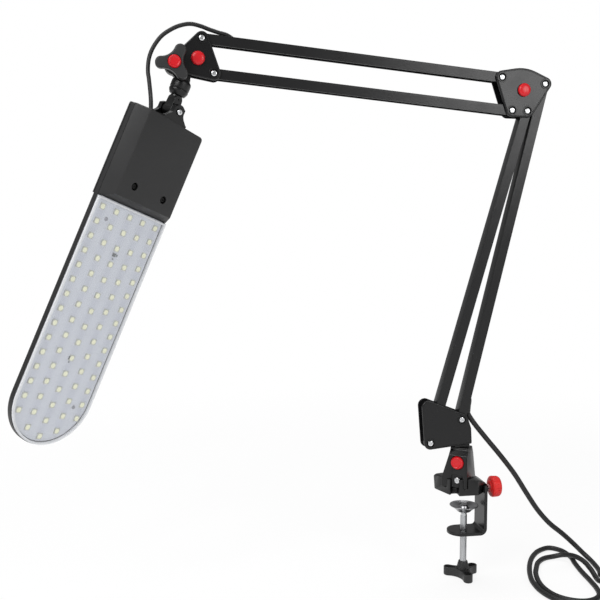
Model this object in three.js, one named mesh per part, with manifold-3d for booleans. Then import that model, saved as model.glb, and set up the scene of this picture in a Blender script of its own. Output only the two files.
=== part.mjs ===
import * as THREE from "three";
import { mergeVertices } from "three/addons/utils/BufferGeometryUtils.js";
import Module from "manifold-3d";

const wasm = await Module();
wasm.setup();

// A clamp-on desk lamp with two parallel-bar arms and a flat LED head. Millimetres, +Z up. The desk
// top is z = 0, the clamping screw's axis is X = Y = 0, the arms swing in the plane Y = 0 and the
// front is -Y. Places in that plane are [x, z].

const gap = 0.3; // between pieces that touch
const overrun = 2; // by which a cut passes the face that it opens
const weld = 0.001; // vertices closer than this are one
const degree = Math.PI / 180;

const clamp = {
  steel: 3.8,
  spineInner: 19.5,
  halfWidth: 16,
  spineTop: 9,
  jawTop: -45.7,
  jawTip: -20,
  bendInner: 4.2,
  screwRadius: 4,
  screwTop: -17.2,
  padRadius: 17,
  padRim: -15.8,
  padDepth: 5,
  padSteel: 1.4,
  padHubRadius: 8,
  cupHeight: 3,
  handleTop: -94,
  handleHeight: 10,
  lobeReach: 23,
  lobeRadius: 5.5,
  hubRadius: 7.8,
  collarHeight: 9.5,
  handleSeat: 12,
};
const saddle = {
  left: -32,
  right: 28.6,
  halfWidth: 18,
  height: 20.3,
  slotTop: 10,
};
const knob = {
  radius: 12.5,
  start: 31.5,
  thickness: 10,
  height: 4.3,
  shankRadius: 3,
  flutes: 14,
  fluteDepth: 0.7,
  edge: 2,
};
const tower = {
  axis: -4,
  turn: -38 * degree,
  neckHalf: 10.5,
  neckFront: 10,
  neckBack: 8,
  neckTop: 55.2,
  faceFront: 16,
  faceRight: 12,
  footLeft: 19,
  footBack: 21,
  footBottom: 8.5,
  shoulder: 47,
  capRadius: 7.6,
  capHeight: 38.7,
  capRise: 2.6,
  capRecess: 1,
  screwRadius: 3.7,
  screwHeight: 17.5,
  screwRise: 1.6,
  screwShank: 2,
  screwLength: 9,
  recessWidth: 13,
  recessDepth: 1.6,
};
const post = { radius: 6, bottom: 1.2, footHeight: 15 };
const plates = { front: 9, steel: 2.25, rim: 2, pocket: 0.7, bossRadius: 5.6, bossBore: 4.1 };
const housing = {
  left: [-45, 62],
  right: [-7.14, 88.6],
  pivotCorner: 7.5,
  topCorner: 8,
  topLeft: [-48, 104.5],
  lowRight: [3.6, 61.4],
  shoulder: [2.6, 78],
  sharpCorner: 1.8,
  footLeft: -14,
  footRight: 3.6,
};
const bar = {
  lowerLength: 400,
  upperLength: 341.7,
  leftLean: 16.07 * degree,
  rightLean: 13.56 * degree,
  rise: 5.3 * degree,
  deep: 12.9,
  high: 11,
  steel: 1.3,
};
const bolt = { radius: 2.5, headRadius: 3.7, headRise: 1.7, nutRadius: 3.9, nutHeight: 3, washer: 1.2 };
const drift = 1.5; // play of the one pivot at which the four-bar linkage is opened
const elbow = {
  lowerBar: [-18.6, 0.3],
  upperBar: [-31.4, 37.3],
  corner: 7.5,
  crownRadius: 45,
  crown: [-8.7, 3.1],
  cap: [-5, 23.4],
};
const cap = { radius: 7.5, rise: 4.4 };
const standoff = { radius: 4.6 };
const endPlate = { corner: 7.3, tiltCorner: 7.6, tilt: [-42.5, 8.3], cap: [-17.2, 15.4] };
const tiltKnob = {
  back: 16,
  thickness: 10,
  reach: 14,
  lobeRadius: 6.2,
  waist: 9.2,
  capRadius: 7,
  capRise: 1.6,
  turn: 35 * degree,
  boltRadius: 3,
  hubRadius: 6,
};
const knuckle = {
  eyeRadius: 10.5,
  deep: 12.6,
  neck: 16.5,
  lean: 22 * degree,
  topFromTilt: [10.1, -12.7],
  barrelRadius: 10.7,
  barrelLength: 20,
  taper: 4,
  taperRadius: 8.4,
  groove: 0.6,
  bore: 4.5,
  boreDepth: 14,
};
const stem = { radius: 4.2, neckRadius: 6.2, eyeRadius: 7, deep: 14, toPivot: 37.0, rise: 12.5 };
const head = {
  turn: 42.96 * degree,
  swing: -1.29 * degree,
  earOuter: 27,
  earSteel: 5.2,
  earRadius: 7.6,
  earBase: 34,
  top: 14.5,
  width: 99.4,
  coverEnd: 115,
  tipCentre: 337.2,
  boardFront: 4.2,
  boardThick: 1.4,
  shellWall: 1.8,
  shellBack: 4.4,
  boxBack: 12,
  boxTaper: 10,
  faceFront: 19,
  faceHalf: 41.5,
  faceEnd: 108,
  wall: 2,
  screwX: 22,
  screwZ: 93,
  screwRadius: 3,
  cordX: -33,
  cordY: -10,
  cordRise: 9,
};
const led = { pitch: 19.84, first: 124.75, perColumn: 15, side: 3.5, rise: 0.8 };
const lastRows = [353.6, 370.8, 379.0]; // of the outer columns, the next ones and the middle one
const lens = { thick: 1.2, front: 7.4, inset: 0.4, lip: 2.6 };
const driver = { sideRoom: 4.5, height: 60, thick: 1.6, top: 32, partHeight: 6 };
const spring = { wire: 1.3, radius: 3.3, turns: 20, pitch: 5, start: 40, hook: 9 };
const headCordSize = 4.5;
const mainsCordSize = 6.2;
const armCordSize = 4.2;
const floor = -104;

// Shapes drawn in shares of the sizes that they follow
const domeShares = [[0, 0], [1, 0], [1, 0.35], [0.86, 0.75], [0.5, 0.95], [0, 1]]; // radius, rise
const panHeadShares = [[1, 0], [1, 0.4], [0.6, 1], [0, 1]]; // radius, rise
const earFlankShare = 1.25; // of the ear's radius, half-way down
const boardPartShares = { width: 0.22, top: 0.3, bottom: 0.7 }; // of the driver board
const saddleSideShares = [
  [1, 0], [1, 0.31], [0.915, 0.57], [0.76, 0.83], [0.58, 0.97],
  [0.44, 1], [0.05, 0.9], [0, 0.8], [0.02, 0],
]; // length, height
const saddlePlanShares = [
  [1, -0.3], [1, 1], [0, 1], [0.17, -0.66], [0.24, -0.4],
  [0.33, -0.4], [0.32, -1], [0.7, -1], [0.86, -0.55],
]; // length, half width

const finish = {
  black: { color: 0x1b1c1d, roughness: 0.45, metalness: 0.1 },
  blackSteel: { color: 0x18191a, roughness: 0.38, metalness: 0.45 },
  steel: { color: 0xb9bcc0, roughness: 0.3, metalness: 0.95 },
  red: { color: 0xc81f28, roughness: 0.35, metalness: 0 },
  cord: { color: 0x141414, roughness: 0.55, metalness: 0 },
  board: { color: 0xdde1e8, roughness: 0.5, metalness: 0 },
  clear: { color: 0xf2f5f8, roughness: 0.15, metalness: 0, transparent: true, opacity: 0.3 },
  circuit: { color: 0x2f6b3a, roughness: 0.6, metalness: 0 },
};
const materials = Object.fromEntries(
  Object.entries(finish).map(([name, look]) => [name, new THREE.MeshStandardMaterial({ name, ...look })]),
);

// Solids

function solid(geometry) {
  const plain = geometry.index ? geometry.toNonIndexed() : geometry.clone();
  plain.deleteAttribute("normal");
  plain.deleteAttribute("uv");
  const merged = mergeVertices(plain, weld);
  const vertProperties = merged.attributes.position.array;
  const triVerts = new Uint32Array(merged.index.array);
  return new wasm.Manifold(new wasm.Mesh({ numProp: 3, vertProperties, triVerts }));
}

function geometryOf(body) {
  const mesh = body.getMesh();
  const geometry = new THREE.BufferGeometry();
  geometry.setAttribute("position", new THREE.BufferAttribute(mesh.vertProperties, 3));
  geometry.setIndex(new THREE.BufferAttribute(mesh.triVerts, 1));
  return geometry;
}

function join(first, ...others) {
  return geometryOf(others.reduce((body, other) => body.add(solid(other)), solid(first)));
}

function cut(first, ...tools) {
  return geometryOf(tools.reduce((body, tool) => body.subtract(solid(tool)), solid(first)));
}

function common(first, second) {
  return geometryOf(solid(first).intersect(solid(second)));
}

function piece(name, geometry, look) {
  const flat = geometry.index ? geometry.toNonIndexed() : geometry;
  flat.computeVertexNormals();
  const mesh = new THREE.Mesh(flat, materials[look]);
  mesh.name = name;
  return mesh;
}

// A slab between two depths y, from a shape drawn in the arm's plane.
function slab(shape, front, back, curveSegments = 10) {
  const settings = { depth: back - front, bevelEnabled: false, curveSegments };
  const geometry = new THREE.ExtrudeGeometry(shape, settings);
  return geometry.rotateX(Math.PI / 2).translate(0, back, 0);
}

// A prism standing on z = bottom, from a shape drawn in plan.
function prism(shape, bottom, top, curveSegments = 10) {
  const settings = { depth: top - bottom, bevelEnabled: false, curveSegments };
  return new THREE.ExtrudeGeometry(shape, settings).translate(0, 0, bottom);
}

function rod(radius, [x, z], front, back, sides = 20, frontRadius = radius) {
  const cylinder = new THREE.CylinderGeometry(radius, frontRadius, back - front, sides);
  return cylinder.translate(x, (front + back) / 2, z);
}

function column(radius, x, y, bottom, top, sides = 24) {
  const cylinder = new THREE.CylinderGeometry(radius, radius, top - bottom, sides).rotateX(Math.PI / 2);
  return cylinder.translate(x, y, (bottom + top) / 2);
}

function block(left, right, front, back, bottom, top) {
  const box = new THREE.BoxGeometry(right - left, back - front, top - bottom);
  return box.translate((left + right) / 2, (front + back) / 2, (bottom + top) / 2);
}

function polygon(points) {
  return new THREE.Shape(points.map(([x, z]) => new THREE.Vector2(x, z)));
}

// The outline that a belt takes round circles [x, z, radius], listed anticlockwise.
function belt(circles, grow = 0) {
  const rounds = circles.map(([x, z, r]) => ({ x, z, r: Math.max(r + grow, gap) }));
  const normals = rounds.map((a, i) => {
    const b = rounds[(i + 1) % rounds.length];
    const distance = Math.hypot(b.x - a.x, b.z - a.z);
    return Math.atan2(b.z - a.z, b.x - a.x) - Math.acos((a.r - b.r) / distance);
  });
  const shape = new THREE.Shape();
  rounds.forEach((round, i) => {
    const from = normals[(i + rounds.length - 1) % rounds.length];
    let to = normals[i];
    while (to < from) to += 2 * Math.PI;
    if (i === 0) shape.moveTo(round.x + round.r * Math.cos(from), round.z + round.r * Math.sin(from));
    shape.absarc(round.x, round.z, round.r, from, to, false);
  });
  shape.closePath();
  return shape;
}

function lathe(profile, sides = 18) {
  const points = profile.map(([r, z]) => new THREE.Vector2(r, z));
  return new THREE.LatheGeometry(points, sides).rotateX(Math.PI / 2);
}

// A round tube along closely set points, with flat ends.
function wound(points, radius, sides) {
  const position = [];
  const index = [];
  const tangents = points.map((p, i) => {
    const before = points[Math.max(i - 1, 0)];
    const after = points[Math.min(i + 1, points.length - 1)];
    return after.clone().sub(before).normalize();
  });
  const across = new THREE.Vector3(1, 0, 0);
  if (Math.abs(across.dot(tangents[0])) > Math.SQRT1_2) across.set(0, 1, 0);
  points.forEach((p, i) => {
    across.addScaledVector(tangents[i], -across.dot(tangents[i])).normalize();
    const up = tangents[i].clone().cross(across);
    for (let k = 0; k < sides; k++) {
      const angle = (2 * Math.PI * k) / sides;
      const spoke = across.clone().multiplyScalar(Math.cos(angle)).addScaledVector(up, Math.sin(angle));
      position.push(...p.clone().addScaledVector(spoke, radius).toArray());
    }
  });
  for (let i = 0; i + 1 < points.length; i++) {
    for (let k = 0; k < sides; k++) {
      const a = i * sides + k;
      const b = i * sides + ((k + 1) % sides);
      index.push(a, b, a + sides, b, b + sides, a + sides);
    }
  }
  const last = (points.length - 1) * sides;
  for (let k = 1; k + 1 < sides; k++) {
    index.push(0, k + 1, k, last, last + k, last + k + 1);
  }
  const geometry = new THREE.BufferGeometry();
  geometry.setAttribute("position", new THREE.Float32BufferAttribute(position, 3));
  geometry.setIndex(index);
  return geometry;
}

// The least gap between parts of a tube that are over a few radii apart along it.
function leastGap(points, radius) {
  const along = [0];
  points.slice(1).forEach((p, i) => along.push(along[i] + p.distanceTo(points[i])));
  let least = Infinity;
  points.forEach((p, i) => {
    for (let j = i + 1; j < points.length; j++) {
      if (along[j] - along[i] > 6 * radius) least = Math.min(least, p.distanceTo(points[j]) - 2 * radius);
    }
  });
  return least;
}

function cordAlong(points, size, steps, sides) {
  const curve = new THREE.CatmullRomCurve3(points, false, "centripetal");
  const section = new THREE.Shape();
  for (let k = 0; k < sides; k++) {
    const angle = (2 * Math.PI * k) / sides;
    const place = [(size / 2) * Math.cos(angle), (size / 2) * Math.sin(angle)];
    if (k) section.lineTo(...place);
    else section.moveTo(...place);
  }
  return new THREE.ExtrudeGeometry(section, { steps, extrudePath: curve, bevelEnabled: false });
}

// Pivots of the two arms at rest

const leftTop = [
  housing.left[0] + bar.lowerLength * Math.sin(bar.leftLean),
  housing.left[1] + bar.lowerLength * Math.cos(bar.leftLean),
];
const rightTop = [
  housing.right[0] + bar.lowerLength * Math.sin(bar.rightLean),
  housing.right[1] + bar.lowerLength * Math.cos(bar.rightLean),
];
const offset = ([x, z], [dx, dz]) => [x + dx, z + dz];
const elbowLow = offset(leftTop, elbow.lowerBar);
const elbowHigh = offset(leftTop, elbow.upperBar);
const reach = [-bar.upperLength * Math.cos(bar.rise), bar.upperLength * Math.sin(bar.rise)];
const endLow = offset(elbowLow, reach);
const endHigh = offset(elbowHigh, reach);
const tilt = offset(endLow, endPlate.tilt);
const inner = plates.front - plates.steel;

// Clamp

function clampBracket() {
  const { steel, spineInner, spineTop, jawTop, jawTip, bendInner, halfWidth } = clamp;
  const outer = spineInner + steel;
  const jawBottom = jawTop - steel;
  const bendOuter = bendInner + steel;
  const side = new THREE.Shape();
  side.moveTo(spineInner, spineTop);
  side.lineTo(spineInner, jawTop + bendInner);
  side.absarc(spineInner - bendInner, jawTop + bendInner, bendInner, 0, -Math.PI / 2, true);
  side.lineTo(jawTip, jawTop);
  side.lineTo(jawTip, jawBottom);
  side.lineTo(outer - bendOuter, jawBottom);
  side.absarc(outer - bendOuter, jawBottom + bendOuter, bendOuter, -Math.PI / 2, 0, false);
  side.lineTo(outer, spineTop);
  side.closePath();
  const plan = new THREE.Shape();
  plan.moveTo(outer + overrun, -halfWidth);
  plan.lineTo(outer + overrun, halfWidth);
  plan.lineTo(jawTip + halfWidth, halfWidth);
  plan.absarc(jawTip + halfWidth, 0, halfWidth, Math.PI / 2, (3 * Math.PI) / 2, false);
  plan.closePath();
  const bent = common(
    slab(side, -halfWidth, halfWidth, 6),
    prism(plan, jawBottom - overrun, spineTop + overrun, 12),
  );
  const screwHole = column(clamp.screwRadius + gap, 0, 0, jawBottom - overrun, jawTop + overrun, 20);
  const shankHole = new THREE.CylinderGeometry(
    knob.shankRadius + gap, knob.shankRadius + gap, steel + 2 * overrun, 16,
  );
  shankHole.rotateZ(Math.PI / 2).translate(spineInner + steel / 2, 0, knob.height);
  return cut(bent, screwHole, shankHole);
}

// The foot and neck in their own turned frame, grown all round by a clearance.
function towerBody(grow) {
  const t = tower;
  const front = [
    [-t.neckHalf - grow, t.neckTop],
    [-t.neckHalf - grow, t.shoulder],
    [-t.footLeft - grow, t.footBottom + t.neckHalf],
    [-t.footLeft - grow, t.footBottom - grow],
    [t.faceRight + grow, t.footBottom - grow],
    [t.faceRight + grow, t.shoulder],
    [t.neckHalf + grow, t.neckTop],
  ];
  const profile = [
    [-t.neckFront - grow, t.neckTop],
    [-t.neckFront - grow, t.shoulder + t.faceFront - t.neckFront],
    [-t.faceFront - grow, t.shoulder],
    [-t.faceFront - grow, t.footBottom - grow],
    [t.footBack + grow, t.footBottom - grow],
    [t.footBack - t.footBottom / 2 + grow, t.footBottom + t.neckHalf],
    [t.neckBack + grow, t.shoulder],
    [t.neckBack + grow, t.neckTop],
  ];
  const wide = slab(polygon(front), -t.faceFront - overrun, t.footBack + overrun);
  const side = prism(polygon(profile.map(([y, z]) => [y, z])), -t.footLeft - overrun, t.footLeft + overrun);
  side.rotateX(Math.PI / 2).rotateZ(Math.PI / 2);
  return common(wide, side);
}

const intoPlace = (geometry) => geometry.rotateZ(tower.turn).translate(tower.axis, 0, 0);

function towerBlock() {
  const t = tower;
  const recess = block(
    -t.recessWidth / 2, t.recessWidth / 2,
    -t.faceFront - overrun, -t.faceFront + t.recessDepth,
    t.footBottom - overrun, t.screwHeight + t.recessWidth / 2,
  );
  const capSeat = rod(
    t.capRadius + gap, [0, t.capHeight], -t.faceFront - overrun, -t.faceFront + t.capRecess, 24,
  );
  const screwHole = rod(
    t.screwShank + gap, [0, t.screwHeight],
    -t.faceFront - overrun, -t.faceFront + t.recessDepth + t.screwLength, 12,
  );
  const bore = column(post.radius + gap, 0, 0, t.footBottom - overrun, t.neckTop + overrun, 20);
  return intoPlace(cut(towerBody(0), recess, capSeat, screwHole, bore));
}

function saddleBlock() {
  const { left, right, halfWidth, height } = saddle;
  const across = (share) => left + share * (right - left);
  const side = polygon(saddleSideShares.map(([x, z]) => [across(x), z * height]));
  const plan = polygon(saddlePlanShares.map(([x, y]) => [across(x), y * halfWidth]));
  const body = common(
    slab(side, -halfWidth - overrun, halfWidth + overrun),
    prism(plan, -overrun, height + overrun),
  );
  const slot = block(
    clamp.spineInner - gap, clamp.spineInner + clamp.steel + gap,
    -halfWidth - 2 * overrun, clamp.halfWidth + gap, -overrun, saddle.slotTop,
  );
  const shank = new THREE.CylinderGeometry(
    knob.shankRadius + gap, knob.shankRadius + gap, right + overrun - tower.axis, 16,
  );
  shank.rotateZ(Math.PI / 2).translate((right + overrun + tower.axis) / 2, 0, knob.height);
  const bore = column(post.radius + gap, tower.axis, 0, post.bottom - gap, height + overrun, 20);
  return cut(body, intoPlace(towerBody(gap)), slot, shank, bore);
}

function padDish() {
  const { padRadius, padRim, padDepth, padSteel, padHubRadius, cupHeight, screwRadius, screwTop } = clamp;
  const floorTop = padRim - padDepth;
  return lathe([
    [0, screwTop + gap],
    [screwRadius + gap, screwTop + gap],
    [screwRadius + gap, floorTop - cupHeight],
    [padHubRadius, floorTop - cupHeight],
    [padHubRadius + padSteel, floorTop - padSteel],
    [padRadius - padSteel, padRim - padSteel],
    [padRadius, padRim - padSteel / 2],
    [padRadius - padSteel, padRim],
    [padHubRadius, floorTop + padSteel],
    [screwRadius + padSteel, floorTop + padSteel],
    [screwRadius, screwTop + padSteel],
    [0, screwTop + padSteel],
  ]);
}

// A star of rounded lobes with hollow flanks between them.
function lobedShape(lobes, reach, lobeRadius, waist, turn) {
  const points = [];
  const perLobe = 12;
  for (let i = 0; i < lobes * perLobe; i++) {
    const angle = (2 * Math.PI * i) / (lobes * perLobe);
    const phase = Math.abs(((angle * lobes) / Math.PI + 1) % 2 - 1) * (Math.PI / lobes);
    const sideways = reach * Math.sin(phase);
    const over = Math.sqrt(Math.max(lobeRadius ** 2 - sideways ** 2, 0));
    const tip = sideways < lobeRadius ? reach * Math.cos(phase) + over : 0;
    const radius = Math.max(tip, waist);
    points.push([radius * Math.cos(angle + turn), radius * Math.sin(angle + turn)]);
  }
  return polygon(points);
}

function clampScrew() {
  const { handleTop, collarHeight, handleSeat, screwRadius, screwTop } = clamp;
  return column(screwRadius, 0, 0, handleTop + collarHeight - handleSeat + gap, screwTop, 20);
}

function clampHandle() {
  const { handleTop, handleHeight, lobeReach, lobeRadius, hubRadius, collarHeight, screwRadius } = clamp;
  const star = lobedShape(3, lobeReach - lobeRadius, lobeRadius, hubRadius, -Math.PI / 2);
  const lobes = prism(star, handleTop - handleHeight, handleTop);
  const hubTop = handleTop + collarHeight;
  const hub = column(hubRadius, 0, 0, handleTop - handleHeight / 2, hubTop, 20);
  const seat = column(screwRadius + gap, 0, 0, hubTop - clamp.handleSeat, hubTop + overrun, 20);
  return cut(join(lobes, hub), seat);
}

function lockKnob() {
  const { radius, thickness, flutes, fluteDepth, edge, shankRadius } = knob;
  const rim = [];
  for (let i = 0; i < flutes * 2; i++) {
    const angle = (Math.PI * i) / flutes;
    const r = radius - (i % 2 ? fluteDepth : 0);
    rim.push([r * Math.cos(angle), r * Math.sin(angle)]);
  }
  const fluted = prism(polygon(rim), 0, thickness);
  const rounded = lathe([
    [0, 0], [radius - edge, 0], [radius, edge], [radius, thickness - 2 * edge],
    [radius - edge, thickness], [0, thickness],
  ]);
  const bore = column(shankRadius + gap, 0, 0, -overrun, thickness / 2, 16);
  return cut(common(fluted, rounded), bore).rotateY(Math.PI / 2).translate(knob.start, 0, knob.height);
}

function lockScrew() {
  const from = tower.axis + post.radius + gap;
  const to = knob.start + knob.thickness / 2 - gap;
  const shank = new THREE.CylinderGeometry(knob.shankRadius, knob.shankRadius, to - from, 16);
  return shank.rotateZ(Math.PI / 2).translate((from + to) / 2, 0, knob.height);
}

// A domed cap that faces the front.
function domedCap([x, z], face, radius, rise) {
  const dome = lathe(domeShares.map(([across, up]) => [across * radius, up * rise]), 18);
  return dome.rotateX(Math.PI / 2).translate(x, face, z);
}

function towerCap() {
  const t = tower;
  const seat = -t.faceFront + t.capRecess - gap;
  return intoPlace(domedCap([0, t.capHeight], seat, t.capRadius, t.capRise + t.capRecess));
}

const panHead = (radius, rise) => panHeadShares.map(([across, up]) => [across * radius, up * rise]);

function crossScrew(radius, rise, shank, length) {
  const wholeScrew = lathe([[0, -length], [shank, -length], [shank, 0], ...panHead(radius, rise)], 14);
  return wholeScrew.rotateX(Math.PI / 2);
}

function towerScrew() {
  const t = tower;
  const screw = crossScrew(t.screwRadius, t.screwRise, t.screwShank, t.screwLength - gap);
  return intoPlace(screw.translate(0, -t.faceFront + t.recessDepth - gap, t.screwHeight));
}

// Pressed plates of the arms

// A plate with a raised rim and a ring boss round each pivot, on its outer face.
function pressedPlate(circles, holes, side, ...through) {
  const outer = plates.front * side;
  const innerFace = inner * side;
  const between = (a, b) => [Math.min(a, b), Math.max(a, b)];
  const sheet = slab(belt(circles), ...between(outer, innerFace), 4);
  const floorFace = outer - plates.pocket * side;
  const over = outer + overrun * side;
  const field = slab(belt(circles, -plates.rim), ...between(over, floorFace), 3);
  const bosses = holes.map((p) => rod(plates.bossRadius, p, ...between(2 * over, innerFace), 12));
  const rings = holes.map((p) => rod(plates.bossBore, p, ...between(over, floorFace), 10));
  const bores = holes.map((p) => rod(bolt.radius + gap, p, ...between(over, innerFace - overrun * side), 8));
  return cut(sheet, cut(field, ...bosses), ...rings, ...bores, ...through);
}

// A screw with its nut, whose head and nut bear on faces at equal depths.
function throughBolt(p, seatDepth) {
  const headTop = lathe([[0, 0], ...panHead(bolt.headRadius, bolt.headRise)], 12);
  headTop.rotateX(Math.PI / 2).translate(p[0], -seatDepth, p[1]);
  const shank = rod(bolt.radius, p, -seatDepth - bolt.headRise / 2, seatDepth + bolt.nutHeight, 8);
  const nut = rod(bolt.nutRadius, p, seatDepth, seatDepth + bolt.nutHeight - bolt.washer / 2, 6);
  return join(shank, headTop, nut);
}

const pivotBolt = (p) => throughBolt(p, plates.front - plates.pocket + gap);

const plateCap = (p) => domedCap(p, -plates.front + plates.pocket - gap, cap.radius, cap.rise);

function spacer(p) {
  return rod(standoff.radius, p, -inner + gap, inner - gap, 12);
}

// Channel bars: a stadium folded to a U, open to one side, drawn along +X from its first pivot.
function channelBar(length, opening, holeAtEnd = bolt.radius + gap) {
  const half = bar.high / 2;
  const round = [[0, 0, half], [length, 0, half]];
  const deep = bar.deep / 2;
  const outside = slab(belt(round), -deep, deep, 5);
  const webFace = half - bar.steel;
  const [low, high] = opening < 0 ? [-half - overrun, webFace] : [-webFace, half + overrun];
  const hollow = block(
    -half - overrun, length + half + overrun, -deep + bar.steel, deep - bar.steel, low, high,
  );
  const first = rod(bolt.radius + gap, [0, 0], -deep - overrun, deep + overrun, 8);
  const last = rod(holeAtEnd, [length, 0], -deep - overrun, deep + overrun, 10);
  return cut(outside, hollow, first, last);
}

function placeBar(geometry, [x, z], angle) {
  return geometry.rotateY(-angle).translate(x, 0, z);
}

function springPoints() {
  const { radius, turns, pitch, start, hook } = spring;
  const stepsPerTurn = 8;
  const points = [new THREE.Vector3(start - hook, 0, radius)];
  for (let i = 0; i <= turns * stepsPerTurn; i++) {
    const angle = (2 * Math.PI * i) / stepsPerTurn;
    const along = start + (pitch * i) / stepsPerTurn;
    points.push(new THREE.Vector3(along, -radius * Math.sin(angle), radius * Math.cos(angle)));
  }
  points.push(new THREE.Vector3(start + pitch * turns + hook, 0, radius));
  return points;
}

const springRoute = springPoints();
console.log("spring's least gap", leastGap(springRoute, spring.wire / 2).toFixed(2), "mm");

const springSolid = () => wound(springRoute, spring.wire / 2, 5);
const springEnds = [spring.start - spring.hook, spring.start + spring.pitch * spring.turns + spring.hook];

// The pins lie just under the hooks' straight ends.
function sprungBar(length, opening) {
  const pins = [springEnds[0] + spring.wire, springEnds[1] - spring.wire];
  const deep = bar.deep / 2;
  const pinHeight = spring.radius - spring.wire / 2 - spring.wire - gap;
  const inWall = deep - bar.steel / 2;
  const rods = pins.map((at) => rod(spring.wire, [at, pinHeight], -inWall, inWall, 10));
  return join(channelBar(length, opening), ...rods);
}

// The cord inside a bar lies on the channel's web, clear of the bolts at both ends.
function barCord(length) {
  const radius = armCordSize / 2;
  const tube = new THREE.CylinderGeometry(radius, radius, length - 2 * bar.high, 8);
  return tube.rotateZ(Math.PI / 2).translate(length / 2, 0, radius + bar.steel + gap - bar.high / 2);
}

// Housing on the tower

const housingCircles = [
  [...housing.left, housing.pivotCorner],
  [...housing.lowRight, housing.sharpCorner],
  [...housing.shoulder, housing.sharpCorner],
  [...housing.right, housing.pivotCorner],
  [...housing.topLeft, housing.topCorner],
];

function housingFoot() {
  const { footLeft, footRight } = housing;
  const bottom = tower.neckTop + gap;
  const base = block(footLeft, footRight, -inner + gap, inner - gap, bottom, bottom + post.footHeight);
  const pin = column(post.radius, tower.axis, 0, post.bottom, bottom + gap, 20);
  return join(base, pin);
}

// Elbow and head joint

const elbowCircles = [
  [...leftTop, elbow.corner],
  [...rightTop, elbow.corner],
  [...offset(leftTop, elbow.crown), elbow.crownRadius],
  [...elbowHigh, elbow.corner],
  [...elbowLow, elbow.corner],
];
const endCircles = [
  [...tilt, endPlate.tiltCorner],
  [...endLow, endPlate.corner],
  [...endHigh, endPlate.corner],
];

function tiltHole() {
  const beyond = plates.front + overrun;
  return rod(tiltKnob.boltRadius + gap, tilt, -beyond, beyond, 12);
}

function tiltKnobBody() {
  const { back, thickness, reach: lobe, lobeRadius, waist, turn, boltRadius } = tiltKnob;
  const star = lobedShape(3, lobe, lobeRadius, waist, turn);
  const lobes = slab(star, -back - thickness, -back);
  const hub = rod(tiltKnob.hubRadius, [0, 0], -back - thickness / 2, -plates.front - gap, 16);
  const bore = rod(boltRadius + gap, [0, 0], -back - thickness / 2, -plates.front + overrun, 12);
  const capSeat = rod(
    tiltKnob.capRadius + gap, [0, 0], -back - thickness - overrun, -back - thickness + tiltKnob.capRise, 24,
  );
  return cut(join(lobes, hub), bore, capSeat).translate(tilt[0], 0, tilt[1]);
}

function tiltCap() {
  const { back, thickness, capRadius, capRise } = tiltKnob;
  return domedCap(tilt, -back - thickness + capRise - gap, capRadius, 2 * capRise);
}

function tiltBolt() {
  const { back, thickness, boltRadius } = tiltKnob;
  return rod(boltRadius, tilt, -back - thickness / 2 + gap, plates.front + bolt.nutHeight, 12);
}

function tiltNut() {
  const face = plates.front;
  const nut = rod(bolt.nutRadius + bolt.washer, tilt, face + gap, face + bolt.nutHeight, 6);
  const bore = rod(tiltKnob.boltRadius + gap, tilt, face - overrun, face + bolt.nutHeight + overrun, 12);
  return cut(nut, bore);
}

// The knuckle's own frame stands on the barrel's axis at the barrel's top, with +Z up along it.
const barrelTop = offset(tilt, knuckle.topFromTilt);

function barrelBody() {
  const { barrelRadius, barrelLength, taper, taperRadius, groove, bore, boreDepth } = knuckle;
  const ring = barrelLength - taper - taper;
  const profile = [
    [0, 0], [taperRadius, 0], [barrelRadius, -taper / 2], [barrelRadius, -ring / 2 - taper / 2],
    [barrelRadius - groove, -ring / 2 - taper / 2 - groove],
    [barrelRadius, -ring / 2 - taper / 2 - 2 * groove],
    [barrelRadius, -barrelLength + taper], [taperRadius, -barrelLength],
    [bore, -barrelLength], [bore, -barrelLength + boreDepth], [0, -barrelLength + boreDepth],
  ];
  return lathe(profile.reverse(), 16);
}

const alongBarrel = (geometry) => geometry.rotateY(knuckle.lean).translate(barrelTop[0], 0, barrelTop[1]);

function knuckleBody() {
  const { eyeRadius, deep, neck } = knuckle;
  const half = deep / 2;
  const eye = rod(eyeRadius, tilt, -half, half, 18);
  const web = slab(belt([[...tilt, neck / 2], [...barrelTop, neck / 2 - overrun]]), -half, half, 4);
  const bore = rod(tiltKnob.boltRadius + gap, tilt, -half - overrun, half + overrun, 12);
  return cut(join(eye, web, alongBarrel(barrelBody())), bore);
}

function swivelStem() {
  const { barrelLength, boreDepth, bore } = knuckle;
  const bottom = -stem.toPivot;
  const pin = lathe([
    [0, bottom + stem.rise - overrun],
    [stem.neckRadius, bottom + stem.rise - overrun],
    [stem.neckRadius, -barrelLength - gap],
    [stem.radius, -barrelLength - gap],
    [stem.radius, -barrelLength + boreDepth - gap],
    [0, -barrelLength + boreDepth - gap],
  ], 20);
  const half = stem.deep / 2;
  const eye = rod(stem.eyeRadius, [0, bottom], -half, half, 20);
  const wide = stem.neckRadius;
  const web = block(-wide, wide, -wide, wide, bottom, bottom + stem.rise);
  const hole = rod(bolt.radius + gap, [0, bottom], -half - overrun, half + overrun, 12);
  const turned = cut(join(eye, web, pin), hole).rotateZ(head.turn);
  return alongBarrel(turned);
}

// Head, in its own frame: origin at the clevis pivot, x to its right, y to its back, z up

const headFrame = new THREE.Group();
headFrame.position.set(
  barrelTop[0] - stem.toPivot * Math.sin(knuckle.lean),
  0,
  barrelTop[1] - stem.toPivot * Math.cos(knuckle.lean),
);
const lean = new THREE.Quaternion().setFromAxisAngle(new THREE.Vector3(0, 1, 0), knuckle.lean);
const turnAbout = new THREE.Quaternion().setFromAxisAngle(new THREE.Vector3(0, 0, 1), head.turn);
const swing = new THREE.Quaternion().setFromAxisAngle(new THREE.Vector3(0, 1, 0), -head.swing);
headFrame.quaternion.copy(lean.multiply(turnAbout).multiply(swing));

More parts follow.
